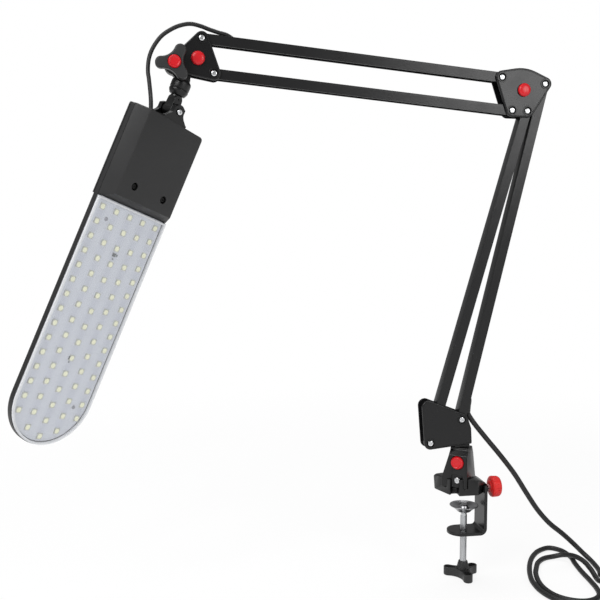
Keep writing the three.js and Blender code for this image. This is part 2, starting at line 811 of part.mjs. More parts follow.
// The tongue's outline: square shoulders below the clevis and a round tip.
function tongue(grow, top = head.top - grow) {
  const half = head.width / 2 + grow;
  const shape = new THREE.Shape();
  shape.moveTo(half, -top);
  shape.lineTo(-half, -top);
  shape.lineTo(-half, -head.tipCentre);
  shape.absarc(0, -head.tipCentre, half, Math.PI, 2 * Math.PI, false);
  shape.closePath();
  return shape;
}

function rearShell() {
  const h = head;
  const outer = slab(tongue(h.shellWall), -h.boardFront, h.shellBack, 16);
  const hollow = slab(tongue(0), -h.boardFront - overrun, h.shellBack - h.shellWall, 16);
  const half = h.width / 2 + h.shellWall;
  const box = new THREE.Shape();
  box.moveTo(-half, h.shellBack - h.shellWall);
  box.lineTo(half, h.shellBack - h.shellWall);
  box.lineTo(half, h.shellBack);
  box.lineTo(half - h.boxTaper, h.boxBack);
  box.lineTo(-half + h.boxTaper, h.boxBack);
  box.lineTo(-half, h.shellBack);
  box.closePath();
  const bulge = prism(box, -h.coverEnd, -h.top + h.shellWall);
  const room = block(
    -half + h.boxTaper + h.wall, half - h.boxTaper - h.wall,
    -overrun, h.boxBack - h.wall, -h.coverEnd + h.wall, -h.top - h.wall,
  );
  return cut(join(cut(outer, hollow), bulge), room);
}

// The front cover over the driver: a shallow box with sloping sides and lower end.
function frontCover() {
  const h = head;
  const back = -h.boardFront - gap;
  const half = h.width / 2 + h.shellWall;
  const shell = (inset) => {
    const plan = polygon([
      [-half + inset, back + inset * overrun],
      [-h.faceHalf + inset, -h.faceFront + inset],
      [h.faceHalf - inset, -h.faceFront + inset],
      [half - inset, back + inset * overrun],
    ]);
    const profile = polygon([
      [back + inset * overrun, -h.top - inset],
      [-h.faceFront + inset, -h.top - inset],
      [-h.faceFront + inset, -h.faceEnd + inset],
      [back + inset * overrun, -h.coverEnd + inset],
    ]);
    const along = prism(plan, -h.coverEnd - overrun, -h.top + h.shellWall + overrun);
    const across = prism(profile, -half - overrun, half + overrun).rotateX(Math.PI / 2).rotateZ(Math.PI / 2);
    return common(along, across);
  };
  const holes = [-h.screwX, h.screwX].map((x) =>
    rod(h.screwRadius + gap, [x, -h.screwZ], -h.faceFront - overrun, -h.faceFront + h.wall + overrun, 14));
  const cordHole = column(headCordSize / 2 + gap, h.cordX, h.cordY, -h.top - 2 * h.wall, 0, 12);
  return cut(shell(0), shell(h.wall), ...holes, cordHole);
}

function coverScrew(x) {
  const h = head;
  const body = rod(h.screwRadius, [x, -h.screwZ], -h.faceFront + gap, -h.faceFront + h.wall, 14);
  const shank = rod(
    h.screwRadius / 2, [x, -h.screwZ], -h.faceFront + gap, -h.boardFront - h.boardThick - gap, 10,
  );
  return join(body, shank);
}

function ledBoard() {
  const h = head;
  const back = -h.boardFront + h.boardThick;
  const board = slab(tongue(-gap, led.first - led.pitch / 2), -h.boardFront, back, 16);
  const chips = [];
  for (let columnIndex = -2; columnIndex <= 2; columnIndex++) {
    const last = lastRows[2 - Math.abs(columnIndex)];
    const step = (last - led.first) / (led.perColumn - 1);
    for (let row = 0; row < led.perColumn; row++) {
      const x = columnIndex * led.pitch;
      const z = -led.first - row * step;
      chips.push(block(
        x - led.side / 2, x + led.side / 2, -h.boardFront - led.rise, -h.boardFront + h.boardThick / 2,
        z - led.side / 2, z + led.side / 2,
      ));
    }
  }
  return join(board, ...chips);
}

function clearCover() {
  const h = head;
  const top = h.coverEnd + gap;
  const outside = slab(tongue(h.shellWall - lens.inset, top), -lens.front, -h.boardFront - gap, 16);
  const within = tongue(h.shellWall - lens.inset - lens.lip, top + lens.lip);
  const inside = slab(within, -lens.front + lens.thick, -h.boardFront + overrun, 16);
  return cut(outside, inside);
}

function headClevis() {
  const h = head;
  const outer = h.earOuter / 2;
  const bottom = -h.top + h.shellWall + gap;
  const ear = new THREE.Shape();
  ear.moveTo(-h.earBase / 2, bottom);
  ear.lineTo(h.earBase / 2, bottom);
  ear.lineTo(h.earRadius * earFlankShare, bottom / 2);
  ear.absarc(0, 0, h.earRadius, -Math.PI / 12, Math.PI + Math.PI / 12, false);
  ear.lineTo(-h.earRadius * earFlankShare, bottom / 2);
  ear.closePath();
  const ears = [-1, 1].map((side) => {
    const faces = [side * outer, side * (outer - h.earSteel)].sort((a, b) => a - b);
    return slab(ear, ...faces, 8);
  });
  const base = block(-h.earBase / 2, h.earBase / 2, -outer, outer, bottom, bottom + h.shellWall);
  const hole = rod(bolt.radius + gap, [0, 0], -outer - overrun, outer + overrun, 12);
  return cut(join(base, ...ears), hole);
}

function clevisScrew() {
  return throughBolt([0, 0], head.earOuter / 2 + gap);
}

// The driver board fills the rear box up to its side room, and its three tall parts face the front.
function driverBoard() {
  const { sideRoom, height, thick, partHeight } = driver;
  const { width: across, bottom, top } = boardPartShares;
  const upper = -driver.top;
  const half = head.width / 2 + head.shellWall - head.boxTaper - head.wall - sideRoom;
  const back = head.boxBack - head.wall - gap;
  const board = block(-half, half, back - thick, back, upper - height, upper);
  const middle = (head.boxBack - head.wall) / 2;
  const parts = [-1, 0, 1].map((i) => block(
    (2 * i * half) / 3 - across * half, (2 * i * half) / 3 + across * half,
    middle - partHeight / 2, back - thick / 2, upper - height * bottom, upper - height * top,
  ));
  return join(board, ...parts);
}

// Cords

headFrame.updateMatrixWorld(true);
const inHead = (x, y, z) => headFrame.localToWorld(new THREE.Vector3(x, y, z));

// From the front cover round the tilt knob's far side to the top bar's end, beside the tilt bolt
const headCordRoute = [
  inHead(head.cordX, head.cordY, -head.top - head.wall),
  inHead(head.cordX, head.cordY, -head.top + head.cordRise),
  ...[
    [-25.5, -7, -36.2], [-26.6, -3, -22.1], [-27.8, 0, -8.1], [-26.2, 0, 5.1], [-22.8, 0, 16.5],
    [-15.9, 0, 27.9], [-5.4, 0, 37.7], [5, 0, 42.7], [17.4, 0, 44.3], [27.8, 0, 42.2], [39.1, 0, 37.9],
  ].map(([x, y, z]) => new THREE.Vector3(tilt[0] + x, y, tilt[1] + z)),
];

const cordFloor = floor + mainsCordSize / 2 + gap;
const cordBridge = cordFloor + mainsCordSize + 2 * gap;
const cordClimb = (cordFloor + cordBridge) / 2;
const asPoints = (list) => list.map((p) => new THREE.Vector3(...p));

// From the housing through the air to the floor
const mainsRoute = asPoints([
  [2.7, 0, 94.4], [6.8, 2, 88.4], [13.5, 5, 80], [30.3, 8, 60.3], [48.5, 8, 38.8], [66.9, 9, 15.5],
  [83.7, 10, -9.8], [98.9, 11, -31.6], [115.9, 13, -50.2], [134.7, 15, -65.5], [152, 18.5, -81],
  [165, 21, -93.5], [170.5, 12, -99.5], [169.5, -2, cordFloor], [165.5, -20, cordFloor],
]);

// Two open loops on the floor, the second over the first, whose end climbs on the coil
const loopsRoute = asPoints([
  [162, -76, (cordBridge + cordClimb) / 2], [157, -86, cordClimb], [146, -95, cordFloor],
  [126, -102, cordFloor], [105, -103.5, cordFloor], [88, -98, cordFloor], [76, -84, cordFloor],
  [70.5, -63, cordFloor], [71.5, -40, cordFloor], [78, -17, cordFloor], [92, 14, cordFloor],
  [107, 37, cordFloor], [122, 52, cordFloor], [139, 59, cordFloor], [150, 48, cordFloor],
  [152, 26, cordFloor], [147.5, 6, cordFloor], [143, -20, cordFloor], [140, -46, cordFloor],
  [136, -70, cordFloor], [130, -85, cordFloor], [119, -94, cordFloor], [105, -96.3, cordFloor],
  [91, -90, cordFloor], [81.5, -78, cordFloor], [77.5, -62, cordFloor], [78.5, -42, cordFloor],
  [85.5, -17, cordFloor], [94, 0, cordFloor], [104, 16, cordFloor], [117, 27, cordFloor],
  [131, 31, cordFloor], [142, 26, cordClimb], [149, 12, cordBridge], [153, -4, cordBridge],
  [153, -24, cordClimb], [150.5, -42, cordFloor], [147, -56, cordClimb], [149, -69, cordBridge],
  [157, -76, -86], [167, -73.5, -80.6], [175, -70, -79.8],
]);

const coil = { x: 193.5, y: -56, innerRadius: 20, spread: 6.9, turns: 3, lift: 7, lead: 1.6, start: Math.PI };
const tie = { steel: 0.9, width: 9, slack: 0.8 };
const coilFloor = cordFloor + tie.steel;

// A flat coil in two layers, in along the floor and out again above.
function coilPoints() {
  const stepsPerTurn = 24;
  const total = coil.turns * stepsPerTurn;
  const half = coil.turns / 2;
  const outerRadius = coil.innerRadius + coil.spread * half;
  const points = [];
  for (let i = 0; i <= total; i++) {
    const turned = i / stepsPerTurn;
    const radius = outerRadius - coil.spread * Math.min(turned, coil.turns - turned);
    const climb = Math.min(Math.max(2 * (turned - half) + 1 / 2, 0), 1);
    const angle = coil.start + 2 * Math.PI * turned;
    points.push(new THREE.Vector3(
      coil.x + radius * Math.cos(angle), coil.y + radius * Math.sin(angle), coilFloor + climb * coil.lift,
    ));
  }
  const reach = coil.lead * mainsCordSize;
  const lead = (from, next) => from.clone().sub(next).setLength(reach).add(from);
  points.unshift(lead(points[0], points[1]));
  points.push(lead(points[points.length - 1], points[points.length - 2]));
  return points;
}

const coilRoute = coilPoints();
console.log("coil's least gap", leastGap(coilRoute, mainsCordSize / 2).toFixed(2), "mm");

// The free stretches meet the coil's straight ends face to face.
function meeting([end, next], ...distances) {
  const along = end.clone().sub(next).normalize();
  return distances.map((away) => end.clone().addScaledVector(along, away));
}

const mainsStretch = [...mainsRoute, ...meeting(coilRoute, 2 * mainsCordSize, gap)];
const loopsStretch = [...meeting(coilRoute.slice(-2).reverse(), gap, mainsCordSize), ...loopsRoute];

const lengthOf = (points) => points.slice(1).reduce((sum, p, i) => sum + p.distanceTo(points[i]), 0);
const mainsLength = lengthOf(mainsStretch) + lengthOf(coilRoute) + lengthOf(loopsStretch);
console.log("mains cord", mainsLength.toFixed(0), "mm, head cord", lengthOf(headCordRoute).toFixed(0), "mm");

// A strap round the coil's turns on its far side.
function cordTie() {
  const { steel, width, slack } = tie;
  const half = mainsCordSize / 2 + slack;
  const near = coil.y + coil.innerRadius - half;
  const far = coil.y + coil.innerRadius + (coil.spread * coil.turns) / 2 + half;
  const low = coilFloor - mainsCordSize / 2 - gap;
  const high = coilFloor + coil.lift + half;
  const [left, right] = [coil.x - width / 2, coil.x + width / 2];
  const around = block(left, right, near - steel, far + steel, low - steel / 2, high + steel);
  const within = block(left - overrun, right + overrun, near, far, low, high);
  return cut(around, within);
}

const plug = {
  neckRadius: 4.4,
  radius: 9.5,
  neck: 14,
  length: 24,
  flange: 6,
  pinRadius: 2,
  pinLength: 19,
  pinHalf: 5,
};

// A plain two-pin plug on the cord's end, lying on the coil.
function mainsPlug() {
  const { neckRadius, radius, neck, length, flange, pinRadius, pinLength, pinHalf } = plug;
  const body = lathe([
    [0, 0], [neckRadius, 0], [neckRadius, neck], [radius, neck + flange], [radius, neck + length],
    [0, neck + length],
  ], 20);
  const pins = [-pinHalf, pinHalf].map((x) => column(pinRadius, x, 0, neck, neck + length + pinLength, 8));
  const whole = join(body, ...pins);
  const [before, end] = loopsStretch.slice(-2);
  const along = end.clone().sub(before).normalize();
  const turn = new THREE.Quaternion().setFromUnitVectors(new THREE.Vector3(0, 0, 1), along);
  const at = end.clone().addScaledVector(along, gap);
  return whole.applyQuaternion(turn).translate(at.x, at.y, at.z);
}

// The lamp

const lamp = new THREE.Group();
lamp.name = "swing_arm_desk_lamp";
const group = (...children) => {
  const made = new THREE.Group();
  made.add(...children);
  lamp.add(made);
  return made;
};

group(
  piece("clamp_bracket", clampBracket(), "blackSteel"),
  piece("clamp_saddle", saddleBlock(), "black"),
  piece("tower_block", towerBlock(), "black"),
  piece("tower_cap", towerCap(), "red"),
  piece("tower_screw", towerScrew(), "steel"),
);

group(
  piece("clamp_pad", padDish(), "steel"),
  piece("clamp_screw", clampScrew(), "steel"),
  piece("clamp_handle", clampHandle(), "black"),
);

group(piece("lock_knob", lockKnob(), "red"), piece("lock_screw", lockScrew(), "steel"));

group(
  piece("housing_front_cheek", pressedPlate(housingCircles, [housing.left, housing.right], -1), "black"),
  piece("housing_back_cheek", pressedPlate(housingCircles, [housing.left, housing.right], 1), "black"),
  piece("housing_foot", housingFoot(), "blackSteel"),
  piece("housing_bolt_left", pivotBolt(housing.left), "steel"),
  piece("housing_bolt_right", pivotBolt(housing.right), "steel"),
);

const leftAngle = Math.PI / 2 - bar.leftLean;
const rightAngle = Math.PI / 2 - bar.rightLean;
const upperAngle = Math.PI - bar.rise;
group(
  piece("lower_left_bar", placeBar(sprungBar(bar.lowerLength, 1), housing.left, leftAngle), "blackSteel"),
  piece("lower_spring", placeBar(springSolid(), housing.left, leftAngle), "steel"),
  piece(
    "lower_right_bar",
    placeBar(channelBar(bar.lowerLength, 1, bolt.radius + drift + gap), housing.right, rightAngle),
    "blackSteel",
  ),
  piece(
    "lower_cord", placeBar(barCord(bar.lowerLength), housing.right, rightAngle), "cord",
  ),
);

group(
  piece(
    "elbow_front_plate", pressedPlate(elbowCircles, [leftTop, rightTop, elbowHigh, elbowLow], -1), "black",
  ),
  piece(
    "elbow_back_plate", pressedPlate(elbowCircles, [leftTop, rightTop, elbowHigh, elbowLow], 1), "black",
  ),
  piece("elbow_bolt_lower_left", pivotBolt(leftTop), "steel"),
  piece("elbow_bolt_lower_right", pivotBolt(rightTop), "steel"),
  piece("elbow_bolt_upper_top", pivotBolt(elbowHigh), "steel"),
  piece("elbow_bolt_upper_bottom", pivotBolt(elbowLow), "steel"),
  piece("elbow_spacer", spacer(offset(leftTop, elbow.cap)), "steel"),
  piece("elbow_cap", plateCap(offset(leftTop, elbow.cap)), "red"),
);

group(
  piece("upper_top_bar", placeBar(channelBar(bar.upperLength, 1), elbowHigh, upperAngle), "blackSteel"),
  piece("upper_cord", placeBar(barCord(bar.upperLength), elbowHigh, upperAngle), "cord"),
  piece("upper_bottom_bar", placeBar(sprungBar(bar.upperLength, 1), elbowLow, upperAngle), "blackSteel"),
  piece("upper_spring", placeBar(springSolid(), elbowLow, upperAngle), "steel"),
);

group(
  piece("end_plate_front", pressedPlate(endCircles, [endLow, endHigh], -1, tiltHole()), "black"),
  piece("end_plate_back", pressedPlate(endCircles, [endLow, endHigh], 1, tiltHole()), "black"),
  piece("end_bolt_top", pivotBolt(endHigh), "steel"),
  piece("end_bolt_bottom", pivotBolt(endLow), "steel"),
  piece("end_spacer", spacer(offset(endLow, endPlate.cap)), "steel"),
  piece("end_cap", plateCap(offset(endLow, endPlate.cap)), "red"),
);

group(
  piece("tilt_knob", tiltKnobBody(), "black"),
  piece("tilt_knob_cap", tiltCap(), "red"),
  piece("tilt_bolt", tiltBolt(), "steel"),
  piece("tilt_nut", tiltNut(), "steel"),
);
group(piece("knuckle", knuckleBody(), "black"), piece("swivel_stem", swivelStem(), "black"));

headFrame.add(
  piece("head_clevis", headClevis(), "black"),
  piece("clevis_screw", clevisScrew(), "steel"),
  piece("rear_shell", rearShell(), "black"),
  piece("front_cover", frontCover(), "black"),
  piece("cover_screw_left", coverScrew(-head.screwX), "steel"),
  piece("cover_screw_right", coverScrew(head.screwX), "steel"),
  piece("led_board", ledBoard(), "board"),
  piece("clear_cover", clearCover(), "clear"),
  piece("driver_board", driverBoard(), "circuit"),
);
lamp.add(headFrame);

group(
  piece("head_cord", cordAlong(headCordRoute, headCordSize, 18, 8), "cord"),
  piece("mains_cord", cordAlong(mainsStretch, mainsCordSize, 22, 8), "cord"),
  piece("mains_loops", cordAlong(loopsStretch, mainsCordSize, 56, 8), "cord"),
  piece("mains_coil", wound(coilRoute, mainsCordSize / 2, 6), "cord"),
  piece("cord_tie", cordTie(), "cord"),
  piece("mains_plug", mainsPlug(), "cord"),
);

export default lamp;
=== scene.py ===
import math

import bmesh
import bpy
from mathutils import Matrix, Vector
from mathutils.bvhtree import BVHTree


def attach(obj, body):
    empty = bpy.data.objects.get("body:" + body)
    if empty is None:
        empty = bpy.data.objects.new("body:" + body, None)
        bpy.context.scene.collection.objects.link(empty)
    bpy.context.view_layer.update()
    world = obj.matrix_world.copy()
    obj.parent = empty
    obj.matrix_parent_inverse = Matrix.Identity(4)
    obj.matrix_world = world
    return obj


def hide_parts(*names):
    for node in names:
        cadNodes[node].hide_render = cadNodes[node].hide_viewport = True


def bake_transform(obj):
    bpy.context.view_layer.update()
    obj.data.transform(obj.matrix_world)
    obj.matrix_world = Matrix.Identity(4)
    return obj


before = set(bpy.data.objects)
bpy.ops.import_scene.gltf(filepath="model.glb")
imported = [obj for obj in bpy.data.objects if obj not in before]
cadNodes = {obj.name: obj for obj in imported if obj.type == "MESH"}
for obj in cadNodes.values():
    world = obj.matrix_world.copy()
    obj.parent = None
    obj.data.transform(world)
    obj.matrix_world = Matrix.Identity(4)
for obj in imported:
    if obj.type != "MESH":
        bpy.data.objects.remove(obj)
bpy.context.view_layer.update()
print("frame loaded:", len(cadNodes), "nodes")

# All shapes are drawn in millimetres and scaled to metres when a piece is finished.
toMetres = 0.001
fullTurn = 2 * math.pi


def linked(name, data):
    made = bpy.data.objects.new(name, data)
    bpy.context.scene.collection.objects.link(made)
    return made


def shift(x, y, z):
    return Matrix.Translation((x, y, z))


def spun(degrees, axis):
    return Matrix.Rotation(math.radians(degrees), 4, axis)


def atMetres(point):
    return tuple(Vector(point) * toMetres)


# Camera

camera = {
    "place": (-359.4, -950.0, 314.4), "turn": -9.639, "down": 4.923, "lens": 51.43, "sensor": 36.0, "nearest": 0.05,
}

cameraData = bpy.data.cameras.new("camera")
cameraData.lens = camera["lens"]
cameraData.sensor_width = camera["sensor"]
cameraData.clip_start = camera["nearest"]
cameraObject = linked("camera", cameraData)
cameraObject.location = atMetres(camera["place"])
cameraObject.rotation_euler = (math.radians(90 - camera["down"]), 0, math.radians(camera["turn"]))
bpy.context.scene.camera = cameraObject


# Shader maths: one class round a socket

class Wire:
    def __init__(self, tree, socket=None):
        self.tree = tree
        self.socket = socket

    def node(self, kind, settings=None, values=None, out=0):
        made = self.tree.nodes.new("ShaderNode" + kind)
        for name, value in (settings or {}).items():
            if name == "stops":
                ramp = made.color_ramp
                while len(ramp.elements) < len(value):
                    ramp.elements.new(0.5)
                for element, (at, colour) in zip(ramp.elements, value):
                    element.position = at
                    element.color = colour
            else:
                setattr(made, name, value)
        for name, value in (values or {}).items():
            if isinstance(value, Wire):
                self.tree.links.new(value.socket, made.inputs[name])
            else:
                made.inputs[name].default_value = value
        return Wire(self.tree, made.outputs[out] if len(made.outputs) else None)

    def maths(self, operation, first, second=0.0):
        return self.node("Math", {"operation": operation}, {0: first, 1: second})

    def __add__(self, other):
        return self.maths("ADD", self, other)

    def __radd__(self, other):
        return self.maths("ADD", other, self)

    def __sub__(self, other):
        return self.maths("SUBTRACT", self, other)

    def __rsub__(self, other):
        return self.maths("SUBTRACT", other, self)

    def __mul__(self, other):
        return self.maths("MULTIPLY", self, other)

    def __rmul__(self, other):
        return self.maths("MULTIPLY", other, self)

    def above(self, edge):
        return self.maths("GREATER_THAN", self, edge)

    def blend(self, low, high):
        return self.node("Mix", {"data_type": "RGBA"}, {0: self, 6: low, 7: high}, 2)


def rgba(colour, factor=1.0):
    return (*[min(channel * factor, 1.0) for channel in colour], 1.0)


def emptyTree(holder):
    holder.use_nodes = True
    holder.node_tree.nodes.clear()
    return Wire(holder.node_tree)


def finishOf(name, look):
    # a moulded, painted or plated surface: slow mottling, fine grain, roughness that varies with both
    material = bpy.data.materials.new(name)
    start = emptyTree(material)
    place = start.node("TexCoord", out=3)
    slow = start.node("TexNoise", values={"Vector": place, "Scale": look.get("mottleScale", 45.0), "Detail": 3.0})
    fine = start.node("TexNoise", values={"Vector": place, "Scale": look["grain"], "Detail": 2.0, "Roughness": 0.6})
    spread = look.get("mottle", 0.15)
    colour = slow.blend(rgba(look["colour"], 1 - spread), rgba(look["colour"], 1 + spread))
    specks = look.get("specks")
    if specks:
        mask = fine.above(specks["edge"])
        colour = mask.blend(colour, rgba(specks["colour"]))
    roughness = look["roughness"] + (slow - 0.5) * look.get("roughSpread", 0.1) + (fine - 0.5) * 0.08
    bump = start.node("Bump", values={
        "Height": fine, "Strength": look.get("bump", 0.2), "Distance": look.get("depth", 0.00006),
    })
    shader = start.node("BsdfPrincipled", values={
        "Base Color": colour, "Roughness": roughness, "Normal": bump, "Metallic": look.get("metallic", 0.0),
        "Specular IOR Level": look.get("specular", 0.5), "Alpha": look.get("alpha", 1.0),
    })
    start.node("OutputMaterial", values={0: shader})
    return material


looks = {
    "barCoat": {
        "slot": "painted_steel", "colour": (0.008, 0.008, 0.0085), "roughness": 0.3, "grain": 1500, "bump": 0.25,
        "specular": 0.35,
    },
    "plateBlack": {
        "slot": "painted_steel", "colour": (0.006, 0.006, 0.0065), "roughness": 0.28, "grain": 1900, "bump": 0.25,
        "specular": 0.35,
    },
    "castBlack": {
        "slot": "cast_zinc", "colour": (0.004, 0.004, 0.0043), "roughness": 0.32, "grain": 1100, "bump": 0.35,
        "specular": 0.4,
    },
    "mouldedBlack": {
        "slot": "black_plastic", "colour": (0.02, 0.02, 0.0205), "roughness": 0.46, "grain": 2600, "bump": 0.4,
        "depth": 0.00005, "specular": 0.4,
    },
    # near black for the cover screws, and painted shade on the plates' well walls
    "screwBlack": {
        "slot": "bright_steel", "colour": (0.004, 0.004, 0.004), "roughness": 0.5, "grain": 1500, "specular": 0.2,
    },
    "redGloss": {
        "slot": "red_plastic", "colour": (0.6, 0.008, 0.014), "roughness": 0.3, "grain": 900, "bump": 0.06,
        "mottle": 0.06, "specular": 0.4,
    },
    "redKnob": {
        "slot": "red_plastic", "colour": (0.66, 0.02, 0.018), "roughness": 0.42, "grain": 1800, "bump": 0.25,
        "mottle": 0.08, "specular": 0.35,
    },
    "brightZinc": {
        "slot": "bright_steel", "colour": (0.74, 0.75, 0.76), "roughness": 0.24, "metallic": 1.0, "grain": 700,
        "bump": 0.08, "mottle": 0.08, "roughSpread": 0.16,
    },
    "padSteel": {
        "slot": "bright_steel", "colour": (0.4, 0.4, 0.41), "roughness": 0.34, "metallic": 1.0, "grain": 900,
        "bump": 0.1, "mottle": 0.1,
    },
    "threadSteel": {
        "slot": "bright_steel", "colour": (0.62, 0.63, 0.64), "roughness": 0.3, "metallic": 1.0, "grain": 1300,
        "bump": 0.15,
    },
    "springWire": {"colour": (0.5, 0.5, 0.51), "roughness": 0.34, "metallic": 1.0, "grain": 1800, "bump": 0.12},
    "cordSheath": {
        "slot": "cord", "colour": (0.012, 0.012, 0.0125), "roughness": 0.48, "grain": 2400, "bump": 0.3,
        "specular": 0.4,
    },
    "boardWhite": {
        "slot": "led_board", "colour": (0.66, 0.685, 0.745), "roughness": 0.42, "grain": 1600, "bump": 0.05,
        "mottle": 0.03, "specular": 0.4,
    },
    "trackWhite": {
        "slot": "led_board", "colour": (0.59, 0.615, 0.69), "roughness": 0.4, "grain": 1600, "bump": 0.05,
        "mottle": 0.04,
    },
    # painted shade: the cases are grey-yellow, darker than their real white, for the chips' shaded sides
    "chipCase": {
        "slot": "led_board", "colour": (0.5, 0.5, 0.43), "roughness": 0.4, "grain": 900, "bump": 0.05, "mottle": 0.04,
    },
    "chipPhosphor": {
        "slot": "led_board", "colour": (0.97, 0.97, 0.66), "roughness": 0.35, "grain": 1500, "bump": 0.1,
        "mottle": 0.06, "mottleScale": 220.0,
    },
    "partDark": {"colour": (0.05, 0.055, 0.05), "roughness": 0.45, "grain": 1500, "bump": 0.1},
    "partGrey": {"colour": (0.3, 0.3, 0.33), "roughness": 0.4, "grain": 1500, "bump": 0.1},
    "circuitGreen": {
        "colour": (0.03, 0.14, 0.05), "roughness": 0.45, "grain": 500, "bump": 0.1,
        "specks": {"edge": 0.62, "colour": (0.35, 0.3, 0.12)},
    },
    "clearSheet": {
        "slot": "clear_plastic", "colour": (0.9, 0.93, 0.97), "roughness": 0.12, "grain": 400, "bump": 0.03,
        "alpha": 0.13, "mottle": 0.02, "roughSpread": 0.04,
    },
    # painted sheen: a whiter, less clear finish for the cover's side wall where it is seen on edge
    "clearEdge": {
        "slot": "clear_plastic", "colour": (0.9, 0.91, 0.93), "roughness": 0.16, "grain": 400, "bump": 0.03,
        "alpha": 0.75, "mottle": 0.03,
    },
}
finishes = {name: finishOf(name, look) for name, look in looks.items()}
print("finishes made:", len(finishes))


# Shapes: each is a bmesh in millimetres

def moved(shape, matrix):
    bmesh.ops.transform(shape, matrix=matrix, verts=shape.verts)
    if matrix.determinant() < 0:
        bmesh.ops.reverse_faces(shape, faces=shape.faces)
    return shape


def tidied(shape, distance=0.0005):
    bmesh.ops.remove_doubles(shape, verts=shape.verts, dist=distance)
    bmesh.ops.recalc_face_normals(shape, faces=shape.faces)
    return shape


def together(*shapes):
    whole = shapes[0]
    for shape in shapes[1:]:
        passing = bpy.data.meshes.new("passing")
        shape.to_mesh(passing)
        whole.from_mesh(passing)
        shape.free()
        bpy.data.meshes.remove(passing)
    return whole


def rod(radius, place, front, back, steps=40, frontRadius=None):
    # a round bar along Y at a place (x, z)
    shape = bmesh.new()
    matrix = shift(place[0], (front + back) / 2, place[1]) @ spun(90, "X")
    bmesh.ops.create_cone(
        shape, cap_ends=True, segments=steps, radius1=radius,
        radius2=radius if frontRadius is None else frontRadius, depth=back - front, matrix=matrix,
    )
    return shape


def column(radius, bottom, top, x=0.0, y=0.0, steps=40, topRadius=None):
    # a round bar along Z
    shape = bmesh.new()
    bmesh.ops.create_cone(
        shape, cap_ends=True, segments=steps, radius1=radius,
        radius2=radius if topRadius is None else topRadius, depth=top - bottom,
        matrix=shift(x, y, (bottom + top) / 2),
    )
    return shape


def block(low, high):
    shape = bmesh.new()
    middle = [(a + b) / 2 for a, b in zip(low, high)]
    size = [b - a for a, b in zip(low, high)]
    bmesh.ops.create_cube(shape, size=1.0, matrix=shift(*middle) @ Matrix.Diagonal((*size, 1.0)))
    return shape


def turned(profile, steps=48, closed=False):
    # a profile of (radius, height) spun about Z
    shape = bmesh.new()
    corners = [shape.verts.new((radius, 0, height)) for radius, height in profile]
    pairs = list(zip(corners, corners[1:]))
    if closed:
        pairs.append((corners[-1], corners[0]))
    edges = [shape.edges.new(pair) for pair in pairs]
    bmesh.ops.spin(
        shape, geom=corners + edges, cent=(0, 0, 0), axis=(0, 0, 1), angle=fullTurn, steps=steps, use_merge=True,
    )
    return tidied(shape)


def softened(profile, radius=0.6, steps=3):
    # the same open profile with its inner corners rounded off
    points = [Vector(point) for point in profile]
    rounded = [points[0]]
    for before, here, after in zip(points, points[1:], points[2:]):
        reach = min(radius, (before - here).length / 2.2, (after - here).length / 2.2)
        start = here + (before - here).normalized() * reach
        end = here + (after - here).normalized() * reach
        for i in range(steps + 1):
            t = i / steps
            rounded.append(start * (1 - t) ** 2 + here * 2 * t * (1 - t) + end * t * t)
    rounded.append(points[-1])
    return [tuple(point) for point in rounded]


def arcFace(arcs, depth=0.0, stepAngle=7.0):
    # a flat face whose outline joins arcs ((x, z), radius, start, sweep) by straight lines
    shape = bmesh.new()
    first = last = None
    for (x, z), radius, start, sweep in arcs:
        corner = shape.verts.new((x + radius * math.cos(start), depth, z + radius * math.sin(start)))
        if last:
            shape.edges.new((last, corner))
        else:
            first = corner
        steps = max(2, math.ceil(abs(sweep) / math.radians(stepAngle)))
        swept = bmesh.ops.spin(shape, geom=[corner], cent=(x, depth, z), axis=(0, -1, 0), angle=sweep, steps=steps)
        last = [item for item in swept["geom_last"] if isinstance(item, bmesh.types.BMVert)][0]
    shape.edges.new((last, first))
    bmesh.ops.remove_doubles(shape, verts=shape.verts, dist=0.001)
    bmesh.ops.edgeloop_fill(shape, edges=shape.edges[:])
    return shape


def beltArcs(circles, grow=0.0):
    # the arcs of a belt round circles (x, z, radius), listed anticlockwise
    rounds = [(x, z, max(radius + grow, 0.3)) for x, z, radius in circles]
    normals = []
    for (ax, az, ar), (bx, bz, br) in zip(rounds, rounds[1:] + rounds[:1]):
        normals.append(math.atan2(bz - az, bx - ax) - math.acos((ar - br) / math.hypot(bx - ax, bz - az)))
    arcs = []
    for i, (x, z, radius) in enumerate(rounds):
        arcs.append(((x, z), radius, normals[i - 1], (normals[i] - normals[i - 1]) % fullTurn))
    return arcs


def drawnOut(shape, faces, reach):
    # faces extruded along a vector, which gives back the new ones
    grown = bmesh.ops.extrude_face_region(shape, geom=faces)["geom"]
    bmesh.ops.translate(shape, verts=[item for item in grown if isinstance(item, bmesh.types.BMVert)], vec=reach)
    return [item for item in grown if isinstance(item, bmesh.types.BMFace)]


def thick(shape, depth):
    drawnOut(shape, shape.faces[:], (0, depth, 0))
    bmesh.ops.recalc_face_normals(shape, faces=shape.faces)
    return shape


def beltSlab(circles, front, back, grow=0.0, stepAngle=7.0):
    return thick(arcFace(beltArcs(circles, grow), front, stepAngle), back - front)


def polygonSlab(corners, front, back):
    shape = bmesh.new()
    shape.faces.new([shape.verts.new((x, front, z)) for x, z in corners])
    return thick(shape, back - front)


def roundedEdges(shape, radius, chosen, segments=3):
    # bevels the edges that a test on their two ends picks
    edges = [edge for edge in shape.edges if chosen(edge)]
    bmesh.ops.bevel(
        shape, geom=edges, offset=radius, offset_type="OFFSET", affect="EDGES", segments=segments, profile=0.5,
        material=-1, clamp_overlap=True,
    )
    return shape


def atDepth(depth):
    return lambda edge: all(abs(end.co.y - depth) < 0.01 for end in edge.verts)


def atHeight(height):
    return lambda edge: all(abs(end.co.z - height) < 0.01 for end in edge.verts)


def objectOf(shape, name="passing"):
    mesh = bpy.data.meshes.new(name)
    shape.to_mesh(mesh)
    shape.free()
    return linked(name, mesh)


def smoothFaces(mesh):
    mesh.polygons.foreach_set("use_smooth", [True] * len(mesh.polygons))


